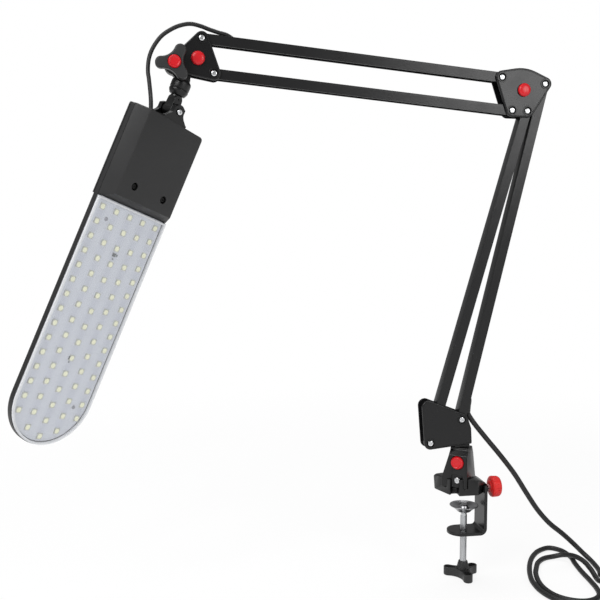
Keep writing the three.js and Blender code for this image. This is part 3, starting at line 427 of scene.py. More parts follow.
def carved(shape, *tools, operation="DIFFERENCE"):
    base = objectOf(shape)
    helpers = [objectOf(tool) for tool in tools]
    for helper in helpers:
        change = base.modifiers.new("carve", "BOOLEAN")
        change.operation = operation
        change.solver = "EXACT"
        change.object = helper
    ready = base.evaluated_get(bpy.context.evaluated_depsgraph_get())
    mesh = bpy.data.meshes.new_from_object(ready)
    result = bmesh.new()
    result.from_mesh(mesh)
    for thing in [base, *helpers]:
        data = thing.data
        bpy.data.objects.remove(thing)
        bpy.data.meshes.remove(data)
    bpy.data.meshes.remove(mesh)
    bmesh.ops.dissolve_limit(result, angle_limit=math.radians(0.5), verts=result.verts[:], edges=result.edges[:])
    return result


def cadCopy(node, flat=1.0):
    shape = bmesh.new()
    shape.from_mesh(cadNodes[node].data)
    bmesh.ops.scale(shape, vec=(1000, 1000, 1000), verts=shape.verts)
    bmesh.ops.remove_doubles(shape, verts=shape.verts, dist=0.003)
    bmesh.ops.dissolve_limit(shape, angle_limit=math.radians(flat), verts=shape.verts[:], edges=shape.edges[:])
    return shape


def strays(piece, reach):
    # whether a rounded edge leaves the shape that it rounds
    mesh = piece.data
    tree = BVHTree.FromPolygons([corner.co for corner in mesh.vertices], [face.vertices for face in mesh.polygons])
    ready = piece.evaluated_get(bpy.context.evaluated_depsgraph_get()).data
    return any(tree.find_nearest(corner.co)[3] > reach for corner in ready.vertices)


def finishPiece(name, shape, finish, body, nodes=(), edge=0.3, angle=32.0, segments=2, place=None, slot=None):
    # finish is one look or several; where no slot is named one is worked out from the first, and nothing uses it
    if place is not None:
        moved(shape, place)
    bmesh.ops.scale(shape, vec=(toMetres,) * 3, verts=shape.verts)
    piece = objectOf(shape, name)
    mesh = piece.data
    worn = [finish] if isinstance(finish, str) else finish
    for each in worn:
        mesh.materials.append(finishes[each])
    smoothFaces(mesh)
    if edge:
        bevel = piece.modifiers.new("edges", "BEVEL")
        bevel.width = edge * toMetres
        bevel.segments = segments
        bevel.limit_method = "ANGLE"
        bevel.angle_limit = math.radians(angle)
        bevel.use_clamp_overlap = False
        bevel.harden_normals = True
        bevel.miter_outer = "MITER_ARC"
        if strays(piece, edge * toMetres):
            bevel.miter_outer = "MITER_SHARP"
            bevel.width = edge * toMetres / 2
            if strays(piece, edge * toMetres):
                bevel.use_clamp_overlap = True
            print("narrower edges:", name, "clamped" if bevel.use_clamp_overlap else "")
    else:
        mesh.set_sharp_from_angle(angle=math.radians(angle))
    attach(piece, body)
    if nodes:
        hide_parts(*nodes)
    slot = looks[worn[0]].get("slot") if slot is None else slot
    return piece


# Cords

mains = {
    "size": 6.2,
    "floorLine": -100.6,
    "bridgeLine": -93.8,
    "free": [
        (2.7, 0, 94.4), (6.8, 2, 88.4), (13.5, 5, 80), (30.3, 8, 60.3), (48.5, 8, 38.8), (66.9, 9, 15.5),
        (83.7, 10, -9.8), (98.9, 11, -31.6), (115.9, 13, -50.2), (134.7, 15, -65.5), (152, 18.5, -81),
        (165, 21, -93.5), (170.5, 12, -99.5), (169.5, -2, -100.6), (165.5, -20, -100.6),
    ],
    # the loops: x, y and how far up from the floor to the top of a crossing
    "loops": [
        (162, -76, 0.75), (157, -86, 0.5), (146, -95, 0), (126, -102, 0), (105, -103.5, 0), (88, -98, 0),
        (76, -84, 0), (70.5, -63, 0), (71.5, -40, 0), (78, -17, 0), (92, 14, 0), (107, 37, 0), (122, 52, 0),
        (139, 59, 0), (150, 48, 0), (152, 26, 0), (147.5, 6, 0), (143, -20, 0), (140, -46, 0), (136, -70, 0),
        (130, -85, 0), (119, -94, 0), (105, -96.3, 0), (91, -90, 0), (81.5, -78, 0), (77.5, -62, 0),
        (78.5, -42, 0), (85.5, -17, 0), (94, 0, 0), (104, 16, 0), (117, 27, 0), (131, 31, 0), (142, 26, 0.5),
        (149, 12, 1), (153, -4, 1), (153, -24, 0.5), (150.5, -42, 0), (147, -56, 0.5), (149, -69, 1),
        (157, -76, 2.15), (167, -73.5, 2.94), (175, -70, 3.06),
    ],
    "coil": {"x": 193.5, "y": -56, "inner": 20, "spread": 6.9, "turns": 3, "lift": 7, "lead": 1.6, "start": 180.0},
    "tieThick": 0.9,
    "length": 1.59,
}


def smoothLine(points, steps=5):
    # a centripetal spline through the points
    ends = [2 * points[0] - points[1], *points, 2 * points[-1] - points[-2]]
    line = []
    for before, here, there, after in zip(ends, ends[1:], ends[2:], ends[3:]):
        near = math.sqrt((here - before).length)
        far = near + math.sqrt((there - here).length)
        end = far + math.sqrt((after - there).length)
        for i in range(steps):
            at = near + (far - near) * i / steps
            first = before.lerp(here, at / near)
            second = here.lerp(there, (at - near) / (far - near))
            third = there.lerp(after, (at - far) / (end - far))
            low, high = first.lerp(second, at / far), second.lerp(third, (at - near) / (end - near))
            line.append(low.lerp(high, (at - near) / (far - near)))
    line.append(points[-1])
    return line


def mainsPoints():
    low, high = mains["floorLine"], mains["bridgeLine"]
    coil = mains["coil"]
    base = low + mains["tieThick"]
    turns = []
    stepsPerTurn = 24
    half = coil["turns"] / 2
    outer = coil["inner"] + coil["spread"] * half
    for i in range(coil["turns"] * stepsPerTurn + 1):
        done = i / stepsPerTurn
        radius = outer - coil["spread"] * min(done, coil["turns"] - done)
        climb = min(max(2 * (done - half) + 0.5, 0), 1)
        angle = math.radians(coil["start"]) + fullTurn * done
        turns.append(Vector((
            coil["x"] + radius * math.cos(angle), coil["y"] + radius * math.sin(angle), base + climb * coil["lift"],
        )))
    inward = (turns[0] - turns[1]).normalized()
    outward = (turns[-1] - turns[-2]).normalized()
    reach = coil["lead"] * mains["size"]
    turns = [turns[0] + inward * reach, *turns, turns[-1] + outward * reach]
    free = [Vector(point) for point in mains["free"]]
    free.append(turns[0] + inward * 2 * mains["size"])
    loops = [turns[-1] + outward * mains["size"]]
    loops += [Vector((x, y, low + share * (high - low))) for x, y, share in mains["loops"]]
    return smoothLine(free, 4) + turns + smoothLine(loops, 4)


def cordCurve(name, points, size, finish, sides=6, resolution=1):
    data = bpy.data.curves.new(name, "CURVE")
    data.dimensions = "3D"
    data.bevel_depth = size / 2 * toMetres
    data.bevel_resolution = sides
    data.resolution_u = resolution
    data.use_fill_caps = True
    spline = data.splines.new("BEZIER")
    spline.bezier_points.add(len(points) - 1)
    for place, point in zip(spline.bezier_points, points):
        place.co = atMetres(point)
        place.handle_left_type = place.handle_right_type = "AUTO"
    data.materials.append(finishes[finish])
    return linked(name, data)


def tubeMesh(name, points, sizes, finish):
    # a tube through the points as a mesh, with its own diameter at each
    curve = cordCurve(name + "_line", points, 2.0, finish, 5, 2)
    for place, size in zip(curve.data.splines[0].bezier_points, sizes):
        place.radius = size / 2
    ready = curve.evaluated_get(bpy.context.evaluated_depsgraph_get())
    mesh = bpy.data.meshes.new_from_object(ready)
    mesh.name = name
    data = curve.data
    bpy.data.objects.remove(curve)
    bpy.data.curves.remove(data)
    shape = bmesh.new()
    shape.from_mesh(mesh)
    tidied(shape, 0.000001).to_mesh(mesh)
    shape.free()
    smoothFaces(mesh)
    mesh.set_sharp_from_angle(angle=math.radians(50))
    return linked(name, mesh)


mainsLine = mainsPoints()
mainsCord = tubeMesh("mains_flex", mainsLine, [mains["size"]] * len(mainsLine), "cordSheath")
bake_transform(mainsCord)
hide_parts("mains_cord", "mains_coil", "mains_loops")


# a two-pin plug in line with the last loop's end, on top of the coil

plug = {
    "neckRadius": 4.4, "radius": 9.5, "neck": 14, "length": 24, "flange": 6, "pin": 2, "pinLength": 19, "apart": 5,
    "groove": 3.5, "grooves": 4, "groovePitch": 2.6,
}


def plugShape():
    p = plug
    top = p["neck"] + p["length"]
    body = turned(softened([
        (0, 0), (p["neckRadius"] - 0.6, 0), (p["neckRadius"], 1.2), (p["neckRadius"], p["neck"]),
        (p["radius"], p["neck"] + p["flange"]), (p["radius"], top), (0, top),
    ], 1.4), 40)
    grooves = []
    for i in range(p["grooves"]):
        low = 3 + p["groovePitch"] * i
        grooves.append(turned([(p["groove"], low), (6, low), (6, low + 1), (p["groove"], low + 1)], 40, True))
    pins = []
    for x in (-p["apart"], p["apart"]):
        tip = top + p["pinLength"]
        pin = turned(softened([(0, top - 1), (p["pin"], top - 1), (p["pin"], tip), (0, tip)], 1.2), 20)
        pins.append(moved(pin, shift(x, 0, 0)))
    return carved(body, *grooves), pins


plugBody, plugPins = plugShape()
along = (mainsLine[-1] - mainsLine[-2]).normalized()
aside = along.cross(Vector((0, 0, 1))).normalized()
turnedAlong = Matrix((along.cross(aside), aside, along)).transposed().to_4x4()
plugPlace = shift(*(mainsLine[-1] + along * 0.3)) @ turnedAlong
plugPiece = finishPiece("plug_body", plugBody, "cordSheath", "clamp", ["mains_plug"], 0.2, place=plugPlace)
pinPiece = finishPiece("plug_pins", together(*plugPins), "brightZinc", "clamp", [], 0, 40, place=plugPlace, slot="")

# the strap round the coil's far side
tie = {"width": 9, "slack": 0.8, "corner": 2}


def tieShape():
    coil = mains["coil"]
    half = mains["size"] / 2 + tie["slack"]
    base = mains["floorLine"] + mains["tieThick"]
    near = coil["inner"] - half
    far = coil["inner"] + coil["spread"] * coil["turns"] / 2 + half
    low = base - mains["size"] / 2 - 0.3
    high = base + coil["lift"] + half
    r = tie["corner"]
    circles = [(near + r, low + r, r), (far - r, low + r, r), (far - r, high - r, r), (near + r, high - r, r)]
    half = tie["width"] / 2
    strap = carved(beltSlab(circles, -half, half, mains["tieThick"] / 2), beltSlab(circles, -half - 2, half + 2))
    return moved(strap, shift(coil["x"], coil["y"], 0) @ spun(90, "Z"))


tiePiece = finishPiece("tie_strap", tieShape(), "cordSheath", "clamp", ["cord_tie"], 0.15)

# Stage and light

stage = {
    "floor": -104.4, "halfWidth": 6.0, "paper": (0.94, 0.94, 0.945), "whiteNear": 0.86, "near": 0.35, "far": 1.3,
    "skyStrength": 0.32,
}


def stageFinish():
    material = bpy.data.materials.new("paperFloor")
    start = emptyTree(material)
    place = start.node("TexCoord", out=3)
    fine = start.node("TexNoise", values={"Vector": place, "Scale": 60.0, "Detail": 2.0})
    colour = fine.blend(rgba(stage["paper"], 0.99), rgba(stage["paper"], 1.01))
    paper = start.node("BsdfPrincipled", values={"Base Color": colour, "Roughness": 0.9, "Specular IOR Level": 0.1})
    white = start.node("Emission", values={"Color": (1, 1, 1, 1), "Strength": 1.0})
    seen = start.node("LightPath", out=0)
    mirrored = start.node("LightPath", out=3)
    away = start.node("VectorMath", {"operation": "LENGTH"}, {0: place}, out=1)
    far = start.node("MapRange", {"interpolation_type": "SMOOTHSTEP"}, {
        "Value": away, "From Min": stage["near"], "From Max": stage["far"],
    })
    # the eye and mirrors see mostly white paper, less of it near the lamp, where its shadow lies
    share = (seen + mirrored) * (stage["whiteNear"] + far * (1 - stage["whiteNear"]))
    start.node("OutputMaterial", values={0: start.node("MixShader", values={0: share, 1: paper, 2: white})})
    return material


floorShape = bmesh.new()
bmesh.ops.create_grid(
    floorShape, x_segments=12, y_segments=12, size=stage["halfWidth"],
    matrix=shift(0, 0, stage["floor"] * toMetres),
)
floorObject = objectOf(floorShape, "floor")
floorObject.data.materials.append(stageFinish())

world = bpy.data.worlds.new("studio")
bpy.context.scene.world = world
sky = emptyTree(world)
white = sky.node("Background", values={"Color": (1, 1, 1, 1), "Strength": 1.0})
soft = sky.node("Background", values={"Color": (1, 1, 1, 1), "Strength": stage["skyStrength"]})
direct = sky.node("LightPath", out=0)
through = sky.node("LightPath", out=6)
showWhite = sky.maths("MINIMUM", direct + through, 1.0)
sky.node("OutputWorld", values={0: sky.node("MixShader", values={0: showWhite, 1: soft, 2: white})})

lamps = {
    "keyBox": {"place": (-1.5, -1.3, 1.7), "aim": (-0.1, 0, 0.3), "size": (1.3, 1.3), "power": 35},
    "fillBox": {"place": (0.68, -1.3, 0.74), "aim": (0.05, 0, 0.42), "size": (0.62, 0.46), "power": 6},
    "topBox": {"place": (-0.1, 0.5, 2.1), "aim": (-0.1, 0, 0.3), "size": (1.6, 0.9), "power": 19},
}
for name, lamp in lamps.items():
    data = bpy.data.lights.new(name, "AREA")
    data.shape = "RECTANGLE"
    data.size, data.size_y = lamp["size"]
    data.energy = lamp["power"]
    light = linked(name, data)
    light.location = lamp["place"]
    aim = Vector(lamp["aim"]) - Vector(lamp["place"])
    light.rotation_euler = aim.to_track_quat("-Z", "Y").to_euler()
print("camera, cords, stage and lights made")

# Clamp

clamp = {
    "steel": 3.8, "spineInner": 19.5, "halfWidth": 16, "spineTop": 9, "jawTop": -45.7, "jawTip": -20,
    "bendInner": 4.2, "screwHole": 4.3, "shankHole": 3.3, "shankHeight": 4.3,
}


def bracketShape():
    # the spine's end is drawn down, turned through the bend and drawn out, and the jaw's tip cut round
    c = clamp
    half = c["halfWidth"]
    outer = c["spineInner"] + c["steel"]
    bendX, bendZ = c["spineInner"] - c["bendInner"], c["jawTop"] + c["bendInner"]
    shape = bmesh.new()
    corners = ((c["spineInner"], -half), (outer, -half), (outer, half), (c["spineInner"], half))
    end = [shape.faces.new([shape.verts.new((x, y, c["spineTop"])) for x, y in corners])]
    end = drawnOut(shape, end, (0, 0, bendZ - c["spineTop"]))
    bent = bmesh.ops.spin(shape, geom=end, cent=(bendX, 0, bendZ), axis=(0, 1, 0), angle=math.pi / 2, steps=10)
    end = [item for item in bent["geom_last"] if isinstance(item, bmesh.types.BMFace)]
    drawnOut(shape, end, (c["jawTip"] - bendX, 0, 0))
    inside = [face for face in shape.faces if all(edge.is_manifold is False for edge in face.edges)]
    if inside:
        bmesh.ops.delete(shape, geom=inside, context="FACES")
    tidied(shape)
    plan = moved(beltSlab([(c["jawTip"] + half, 0, half), (60, 0, half)], -80, 40), spun(90, "X"))
    shape = carved(shape, plan, operation="INTERSECT")
    shank = moved(column(c["shankHole"], -10, 10), shift(21, 0, c["shankHeight"]) @ spun(90, "Y"))
    return carved(shape, column(c["screwHole"], -60, -40), shank)


finishPiece("jaw_bracket", bracketShape(), "barCoat", "clamp", ["clamp_bracket"], 0.55)

pad = {"radius": 17, "rim": -15.8, "hub": 8, "screw": 4, "top": -17.2, "floor": -20.8, "cup": 3}


def padShape():
    p = pad
    profile = [
        (0, p["top"] + 0.3), (p["screw"] + 0.3, p["top"] + 0.3), (p["screw"] + 0.3, p["floor"] - p["cup"]),
        (p["hub"], p["floor"] - p["cup"]), (p["hub"] + 1.0, p["floor"] - 1.4), (p["radius"] - 3.4, p["rim"] - 2.7),
        (p["radius"] - 0.4, p["rim"] - 1.1), (p["radius"], p["rim"] - 0.6), (p["radius"] - 0.5, p["rim"]),
        (p["radius"] - 2.2, p["rim"] - 0.5), (p["hub"] + 1.4, p["floor"] + 1.2), (p["hub"] - 0.4, p["floor"] + 0.6),
        (p["screw"] + 1.6, p["floor"] + 1.4), (p["screw"] + 0.4, p["top"] + 0.6), (p["screw"] - 1, p["top"] + 1.4),
        (0, p["top"] + 1.4),
    ]
    return turned(softened(profile, 0.8), 64)


finishPiece("pad_dish", padShape(), "padSteel", "pad", ["clamp_pad"], 0, 50)

screw = {"radius": 4.0, "root": 3.45, "pitch": 1.25, "bottom": -95.4, "threadTop": -27, "top": -17.2, "foot": -96.2}


def screwShape():
    s = screw
    core = column(s["root"], s["foot"], s["threadTop"] + 1)
    neck = turned(softened([
        (0, s["threadTop"]), (s["root"] - 0.2, s["threadTop"]), (s["radius"] - 0.1, s["threadTop"] + 1.2),
        (s["radius"] - 0.1, s["top"] - 1), (s["radius"] - 0.9, s["top"]), (0, s["top"]),
    ], 0.4), 40)
    thread = bmesh.new()
    profile = [
        thread.verts.new((radius, 0, s["bottom"] + height))
        for radius, height in (
            (s["root"] - 0.25, 0), (s["radius"], s["pitch"] * 0.42), (s["radius"], s["pitch"] * 0.54),
            (s["root"] - 0.25, s["pitch"] * 0.96),
        )
    ]
    edges = [thread.edges.new(pair) for pair in zip(profile, profile[1:] + profile[:1])]
    turns = int((s["threadTop"] - s["bottom"]) / s["pitch"]) - 1
    bmesh.ops.spin(
        thread, geom=profile + edges, cent=(0, 0, 0), axis=(0, 0, 1), dvec=(0, 0, s["pitch"] / 24),
        angle=fullTurn * turns, steps=24 * turns,
    )
    bmesh.ops.holes_fill(thread, edges=thread.edges, sides=4)
    return together(core, neck, tidied(thread))


finishPiece("screw_thread", screwShape(), "threadSteel", "screw", ["clamp_screw"], 0, 28)

handle = {
    "top": -94, "height": 10, "centre": 17.5, "lobe": 5.5, "waist": 8.4, "collarTop": -84.5, "collar": 7.5,
    "pocket": 5.5, "wall": 1.7, "flutes": 10, "fluteRound": 8.1, "bore": 4.3,
}


def lobeArcs(count, centre, lobe, waist, start):
    # round lobes joined by hollow flanks that touch them
    lean = math.cos(math.pi / count)
    hollow = (waist ** 2 + centre ** 2 - waist * centre * 2 * lean - lobe ** 2) / (
        2 * lobe + 2 * centre * lean - 2 * waist)
    far = waist + hollow
    arcs = []
    for i in range(count):
        angle = start + i * fullTurn / count
        middle = (centre * math.cos(angle), centre * math.sin(angle))
        between = angle + math.pi / count
        other = (far * math.cos(between), far * math.sin(between))
        touch = math.atan2(other[1] - middle[1], other[0] - middle[0])
        sweep = 2 * ((touch - angle) % fullTurn)
        arcs.append((middle, lobe, angle - sweep / 2, sweep))
        arcs.append((other, hollow, touch + math.pi, 2 * ((between - touch + math.pi) % fullTurn - math.pi)))
    return arcs


def handleShape():
    h = handle
    bottom = h["top"] - h["height"]
    start = -math.pi / 2
    star = thick(arcFace(lobeArcs(3, h["centre"], h["lobe"], h["waist"], -start), 0), h["height"])
    moved(star, shift(0, 0, h["top"]) @ spun(-90, "X") @ Matrix.Diagonal((1, 1, -1, 1)))
    roundedEdges(tidied(star), 1.1, atHeight(bottom))
    collar = turned(softened([
        (0, bottom + 1), (h["collar"], bottom + 1), (h["collar"], h["top"] + 1), (h["collar"] - 1.0, h["top"] + 5),
        (h["collar"] - 2.2, h["collarTop"]), (0, h["collarTop"]),
    ], 0.7), 60)
    flutes = []
    for i in range(h["flutes"]):
        angle = (i + 0.5) * fullTurn / h["flutes"]
        flute = column(1.3, h["top"] + 0.4, h["collarTop"] + 4, steps=16, topRadius=2.0)
        flutes.append(moved(flute, shift(h["fluteRound"] * math.cos(angle), h["fluteRound"] * math.sin(angle), 0)))
    collar = carved(collar, *flutes)
    pockets = []
    for i in range(3):
        pocket = beltSlab([(11.6, 0, 2.2), (h["centre"], 0, h["lobe"] - h["wall"])], 0, 20)
        standing = shift(0, 0, h["top"] - h["pocket"]) @ Matrix.Rotation(start + i * fullTurn / 3, 4, "Z")
        pockets.append(tidied(moved(pocket, standing @ spun(90, "X"))))
    whole = carved(carved(star, *pockets), collar, operation="UNION")
    return carved(whole, column(h["bore"], h["collarTop"] - 12, h["collarTop"] + 3))


finishPiece("handle_star", handleShape(), "mouldedBlack", "screw", ["clamp_handle"], 0.35, 38)

finishPiece("saddle_casting", cadCopy("clamp_saddle"), "castBlack", "clamp", ["clamp_saddle"], 0.9, 20, 3)
finishPiece("tower_casting", cadCopy("tower_block"), "castBlack", "clamp", ["tower_block"], 0.7, 25, 3)

tower = {
    "x": -4, "turn": -38, "front": -16, "cap": 7.6, "capRise": 3.6, "capHeight": 38.7, "screwHeight": 17.5,
    "screwHead": 3.7, "screwRise": 1.7, "screw": 2, "screwTip": -8.5,
}
towerPlace = shift(tower["x"], 0, 0) @ spun(tower["turn"], "Z")


def capShape(radius, rise, ringed=False):
    # a shallow dome, or a flat face inside a raised ring, standing on Z
    profile = [
        (0, 0), (radius, 0), (radius, rise * 0.35), (radius * 0.94, rise * 0.58), (radius * 0.82, rise * 0.8),
        (radius * 0.6, rise * 0.93), (radius * 0.3, rise * 0.99), (0, rise),
    ]
    if ringed:
        profile[3:] = [
            (radius * 0.92, rise * 0.75), (radius * 0.8, rise), (radius * 0.68, rise * 0.85),
            (radius * 0.6, rise * 0.7), (0, rise * 0.74),
        ]
    return turned(softened(profile, 0.9, 4), 56)


def facingFront(x, y, z):
    return shift(x, y, z) @ spun(90, "X")


towerCap = capShape(tower["cap"], tower["capRise"], True)
moved(towerCap, facingFront(0, tower["front"] + 0.7, tower["capHeight"]))
finishPiece("tower_button", towerCap, "redGloss", "clamp", ["tower_cap"], 0, 40, place=towerPlace)


def crossHead(radius, rise, slot=0.24):
    # a pan head with a cross recess, seat at z = 0
    dome = turned(softened([
        (0, 0), (radius, 0), (radius, rise * 0.45), (radius * 0.88, rise * 0.82), (radius * 0.6, rise), (0, rise),
    ], 0.4, 4), 40)
    arms = []
    for turn in (0, 90):
        arm = block((-radius * 0.56, -radius * slot / 2, rise * 0.35), (radius * 0.56, radius * slot / 2, rise * 2))
        arms.append(moved(arm, spun(turn, "Z")))
    deep = column(radius * 0.12, rise * 0.2, rise * 2, steps=12, topRadius=radius * 0.42)
    return carved(dome, *arms, deep)


towerShank = column(tower["screw"], tower["screwTip"], 0.2, steps=24)
towerScrew = together(crossHead(tower["screwHead"], tower["screwRise"]), towerShank)
moved(towerScrew, facingFront(0, tower["front"] + 1.3, tower["screwHeight"]) @ Matrix.Rotation(0.5, 4, "Z"))
finishPiece("tower_pan_screw", towerScrew, "brightZinc", "clamp", ["tower_screw"], 0.08, 40, place=towerPlace)

knob = {
    "start": 31.5, "thickness": 12, "radius": 12.5, "height": 4.3, "flutes": 16, "flute": 1.15, "fluteRound": 13.1,
    "bore": 3.3, "spindle": 3, "spindleTip": -29.2, "spindleEnd": 4.7,
}


def sideKnobShape():
    k = knob
    radius, top = k["radius"], k["thickness"]
    body = turned(softened([
        (0, 0), (6.2, 0), (6.6, 0.6), (radius - 1.6, 0.9), (radius - 0.4, 1.8), (radius, 3.0),
        (radius - 0.3, top - 2.4), (radius - 1.7, top), (radius - 4, top), (radius - 4.8, top - 0.9), (0, top - 0.9),
    ], 0.8), 96)
    flutes = []
    for i in range(k["flutes"]):
        angle = i * fullTurn / k["flutes"]
        place = shift(k["fluteRound"] * math.cos(angle), k["fluteRound"] * math.sin(angle), 0)
        flutes.append(moved(column(k["flute"], -2, top + 2, steps=14), place))
    return carved(carved(body, *flutes), column(k["bore"], -1, top / 2))


def spindleShape(radius, low, high, chamfer):
    profile = [(0, low), (radius - chamfer, low), (radius, low + chamfer * 1.25), (radius, high), (0, high)]
    return turned(softened(profile, 0.3), 32)


knobPlace = shift(knob["start"], 0, knob["height"]) @ spun(90, "Y")
finishPiece("side_knob", sideKnobShape(), "redKnob", "lock", ["lock_knob"], 0.3, 38, place=knobPlace)

lockScrew = spindleShape(knob["spindle"], knob["spindleTip"], knob["spindleEnd"], 0.8)
finishPiece("lock_spindle", lockScrew, "threadSteel", "lock", ["lock_screw"], 0, 40, place=knobPlace)
print("clamp made")

# Housing, elbow and head joint

plates = {
    "front": 9.0, "steel": 2.25, "rim": 2.0, "pocket": 0.7, "boss": 5.7, "bore": 4.4, "well": 1.6, "hole": 2.8,
    "edge": 1.1, "backEdge": 0.25, "tiltHole": 3.3,
}
pivots = {
    "left": (-45, 62), "right": (-7.14, 88.6), "leftTop": (65.72, 446.37), "rightTop": (86.65, 477.45),
    "elbowLow": (47.12, 446.67), "elbowHigh": (34.32, 483.67), "endLow": (-293.12, 478.23),
    "endHigh": (-305.92, 515.23), "tilt": (-335.62, 486.53), "barrelTop": (-325.52, 473.83),
}
circles = {
    "housing": [
        (*pivots["left"], 7.5), (3.6, 61.4, 1.8), (2.6, 78, 1.8), (*pivots["right"], 7.5), (-48, 104.5, 8),
    ],
    "elbow": [
        (*pivots["leftTop"], 7.5), (*pivots["rightTop"], 7.5), (57.02, 449.47, 45), (*pivots["elbowHigh"], 7.5),
        (*pivots["elbowLow"], 7.5),
    ],
    "end": [(*pivots["tilt"], 7.6), (*pivots["endLow"], 7.3), (*pivots["endHigh"], 7.3)],
}


def atPivot(key):
    x, z = pivots[key]
    return shift(x, 0, z)


def plateShape(outline, holes, side, through=()):
    # drawn for the front, and mirrored for the back
    p = plates
    front, inner = -p["front"], -p["front"] + p["steel"]
    sheet = roundedEdges(beltSlab(outline, front, inner), p["edge"], atDepth(front), 3)
    sheet = roundedEdges(sheet, p["backEdge"], atDepth(inner), 1)
    floor = front + p["pocket"]
    field = beltSlab(outline, front - 3, floor, -p["rim"])
    field = carved(field, *[rod(p["boss"], hole, front - 6, inner + 1, 48) for hole in holes])
    wells = [rod(p["bore"], hole, front - 3, front + p["well"], 40) for hole in holes]
    bores = [rod(p["hole"], hole, front - 3, inner + 3, 32) for hole in holes]
    sheet = carved(sheet, field, *wells, *bores, *through)
    # painted shade: the wells' walls take the near-black screw finish in place of the shadow in the unlit bores
    for face in sheet.faces:
        middle = face.calc_center_median()
        sunk = any(math.hypot(middle.x - x, middle.z - z) < p["bore"] + 0.05 for x, z in holes)
        face.material_index = int(sunk and front + p["pocket"] + 0.1 < middle.y < inner - 0.1)
    if side > 0:
        moved(sheet, Matrix.Diagonal((1, -1, 1, 1)))
    return sheet


def platePair(name, node, body, outline, holes, tiltHole=False):
    for end, side in (("front", -1), ("back", 1)):
        through = [rod(plates["tiltHole"], pivots["tilt"], -20, 20, 32)] if tiltHole else []
        finishPiece(
            name + end, plateShape(circles[outline], holes, side, through), ["plateBlack", "screwBlack"], body,
            [node.format(end)], 0.22, 38,
        )


platePair("cheek_", "housing_{}_cheek", "housing", "housing", [pivots["left"], pivots["right"]])
elbowHoles = [pivots[key] for key in ("leftTop", "rightTop", "elbowHigh", "elbowLow")]
platePair("elbow_cheek_", "elbow_{}_plate", "elbow", "elbow", elbowHoles)
platePair("end_cheek_", "end_plate_{}", "head_joint", "end", [pivots["endLow"], pivots["endHigh"]], True)

bolt = {"radius": 2.5, "head": 3.3, "rise": 1.7, "nut": 3.9, "nutHeight": 3.0, "washer": 4.0}


def boltShape(place, seat, turn):
    b = bolt
    standing = facingFront(place[0], -seat, place[1]) @ Matrix.Rotation(turn, 4, "Z")
    head = moved(crossHead(b["head"], b["rise"]), standing)
    shank = rod(b["radius"], place, -seat - 0.5, seat + b["nutHeight"], 28)
    washer = rod(b["washer"], place, seat, seat + 0.5, 36)
    nut = rod(b["nut"], place, seat + 0.45, seat + b["nutHeight"] - 0.6, 6)
    collar = rod(b["nut"] * 0.82, place, seat + b["nutHeight"] - 0.7, seat + b["nutHeight"] - 0.25, 30)
    return together(head, shank, washer, nut, collar)


seat = plates["front"] - plates["well"] + 0.1
boltList = [
    ("housing_bolt_left", "left", "housing", 0.3), ("housing_bolt_right", "right", "housing", 1.1),
    ("elbow_bolt_lower_left", "leftTop", "elbow", 0.7), ("elbow_bolt_lower_right", "rightTop", "elbow", 0.1),
    ("elbow_bolt_upper_bottom", "elbowLow", "elbow", 1.3), ("elbow_bolt_upper_top", "elbowHigh", "elbow", 0.5),
    ("end_bolt_top", "endHigh", "head_joint", 0.9), ("end_bolt_bottom", "endLow", "head_joint", 0.2),
]
for node, key, body, turn in boltList:
    shape = boltShape(pivots[key], seat, turn)
    finishPiece(node.replace("bolt", "pan_bolt"), shape, "brightZinc", body, [node], 0.08, 40)

caps = {
    "radius": 7.5, "rise": 4.4, "seat": -8.6,
    "places": {"elbow": ("elbow", 60.72, 469.77), "end": ("head_joint", -310.32, 493.63)},
}
for name, (body, x, z) in caps["places"].items():
    dome = moved(capShape(caps["radius"], caps["rise"]), facingFront(x, caps["seat"], z))
    finishPiece(name + "_button", dome, "redGloss", body, [name + "_cap"], 0, 40)
    sleeve = moved(turned(softened([
        (0, -6.4), (4.6, -6.4), (4.6, -4.6), (3.9, -4.2), (3.9, 4.2), (4.6, 4.6), (4.6, 6.4), (0, 6.4),
    ], 0.3), 36), facingFront(x, 0, z))
    finishPiece(name + "_sleeve", sleeve, "brightZinc", body, [name + "_spacer"], 0, 40)

finishPiece("post_foot", cadCopy("housing_foot"), "castBlack", "housing", ["housing_foot"], 0.5, 25)
print("plates and bolts made")

# Bars: folded channels, open side up in their own frame

bar = {
    "deep": 12.9, "high": 11.0, "steel": 1.3, "hole": 2.8, "openHole": 4.3, "lower": 400.0, "upper": 341.7,
    "fold": 1.2, "insideFold": 0.8,
}


def channelShape(length, endHole):
    b = bar
    half, deep = b["high"] / 2, b["deep"] / 2
    outer = beltSlab([(0, 0, half), (length, 0, half)], -deep, deep, 0, 9)

    def atFold(edge):
        return all(abs(abs(end.co.y) - deep) < 0.01 and end.co.z < 1 - half for end in edge.verts)

    def atInsideFold(edge):
        first, last = (end.co for end in edge.verts)
        return first.z < 0 and last.z < 0 and abs(first.x - last.x) > 5

    outer = roundedEdges(outer, b["fold"], atFold, 4)
    hollow = block(
        (-half - 3, -deep + b["steel"], b["steel"] - half), (length + half + 3, deep - b["steel"], half + 3),
    )
    hollow = roundedEdges(hollow, b["insideFold"], atInsideFold, 3)
    first = rod(b["hole"], (0, 0), -deep - 3, deep + 3, 32)
    last = rod(endHole, (length, 0), -deep - 3, deep + 3, 32)
    return carved(outer, hollow, first, last)


spring = {"wire": 1.3, "radius": 3.3, "turns": 21, "pitch": 4.8, "start": 40, "hook": 9, "stepsPerTurn": 12}
spring["end"] = spring["start"] + spring["pitch"] * spring["turns"]


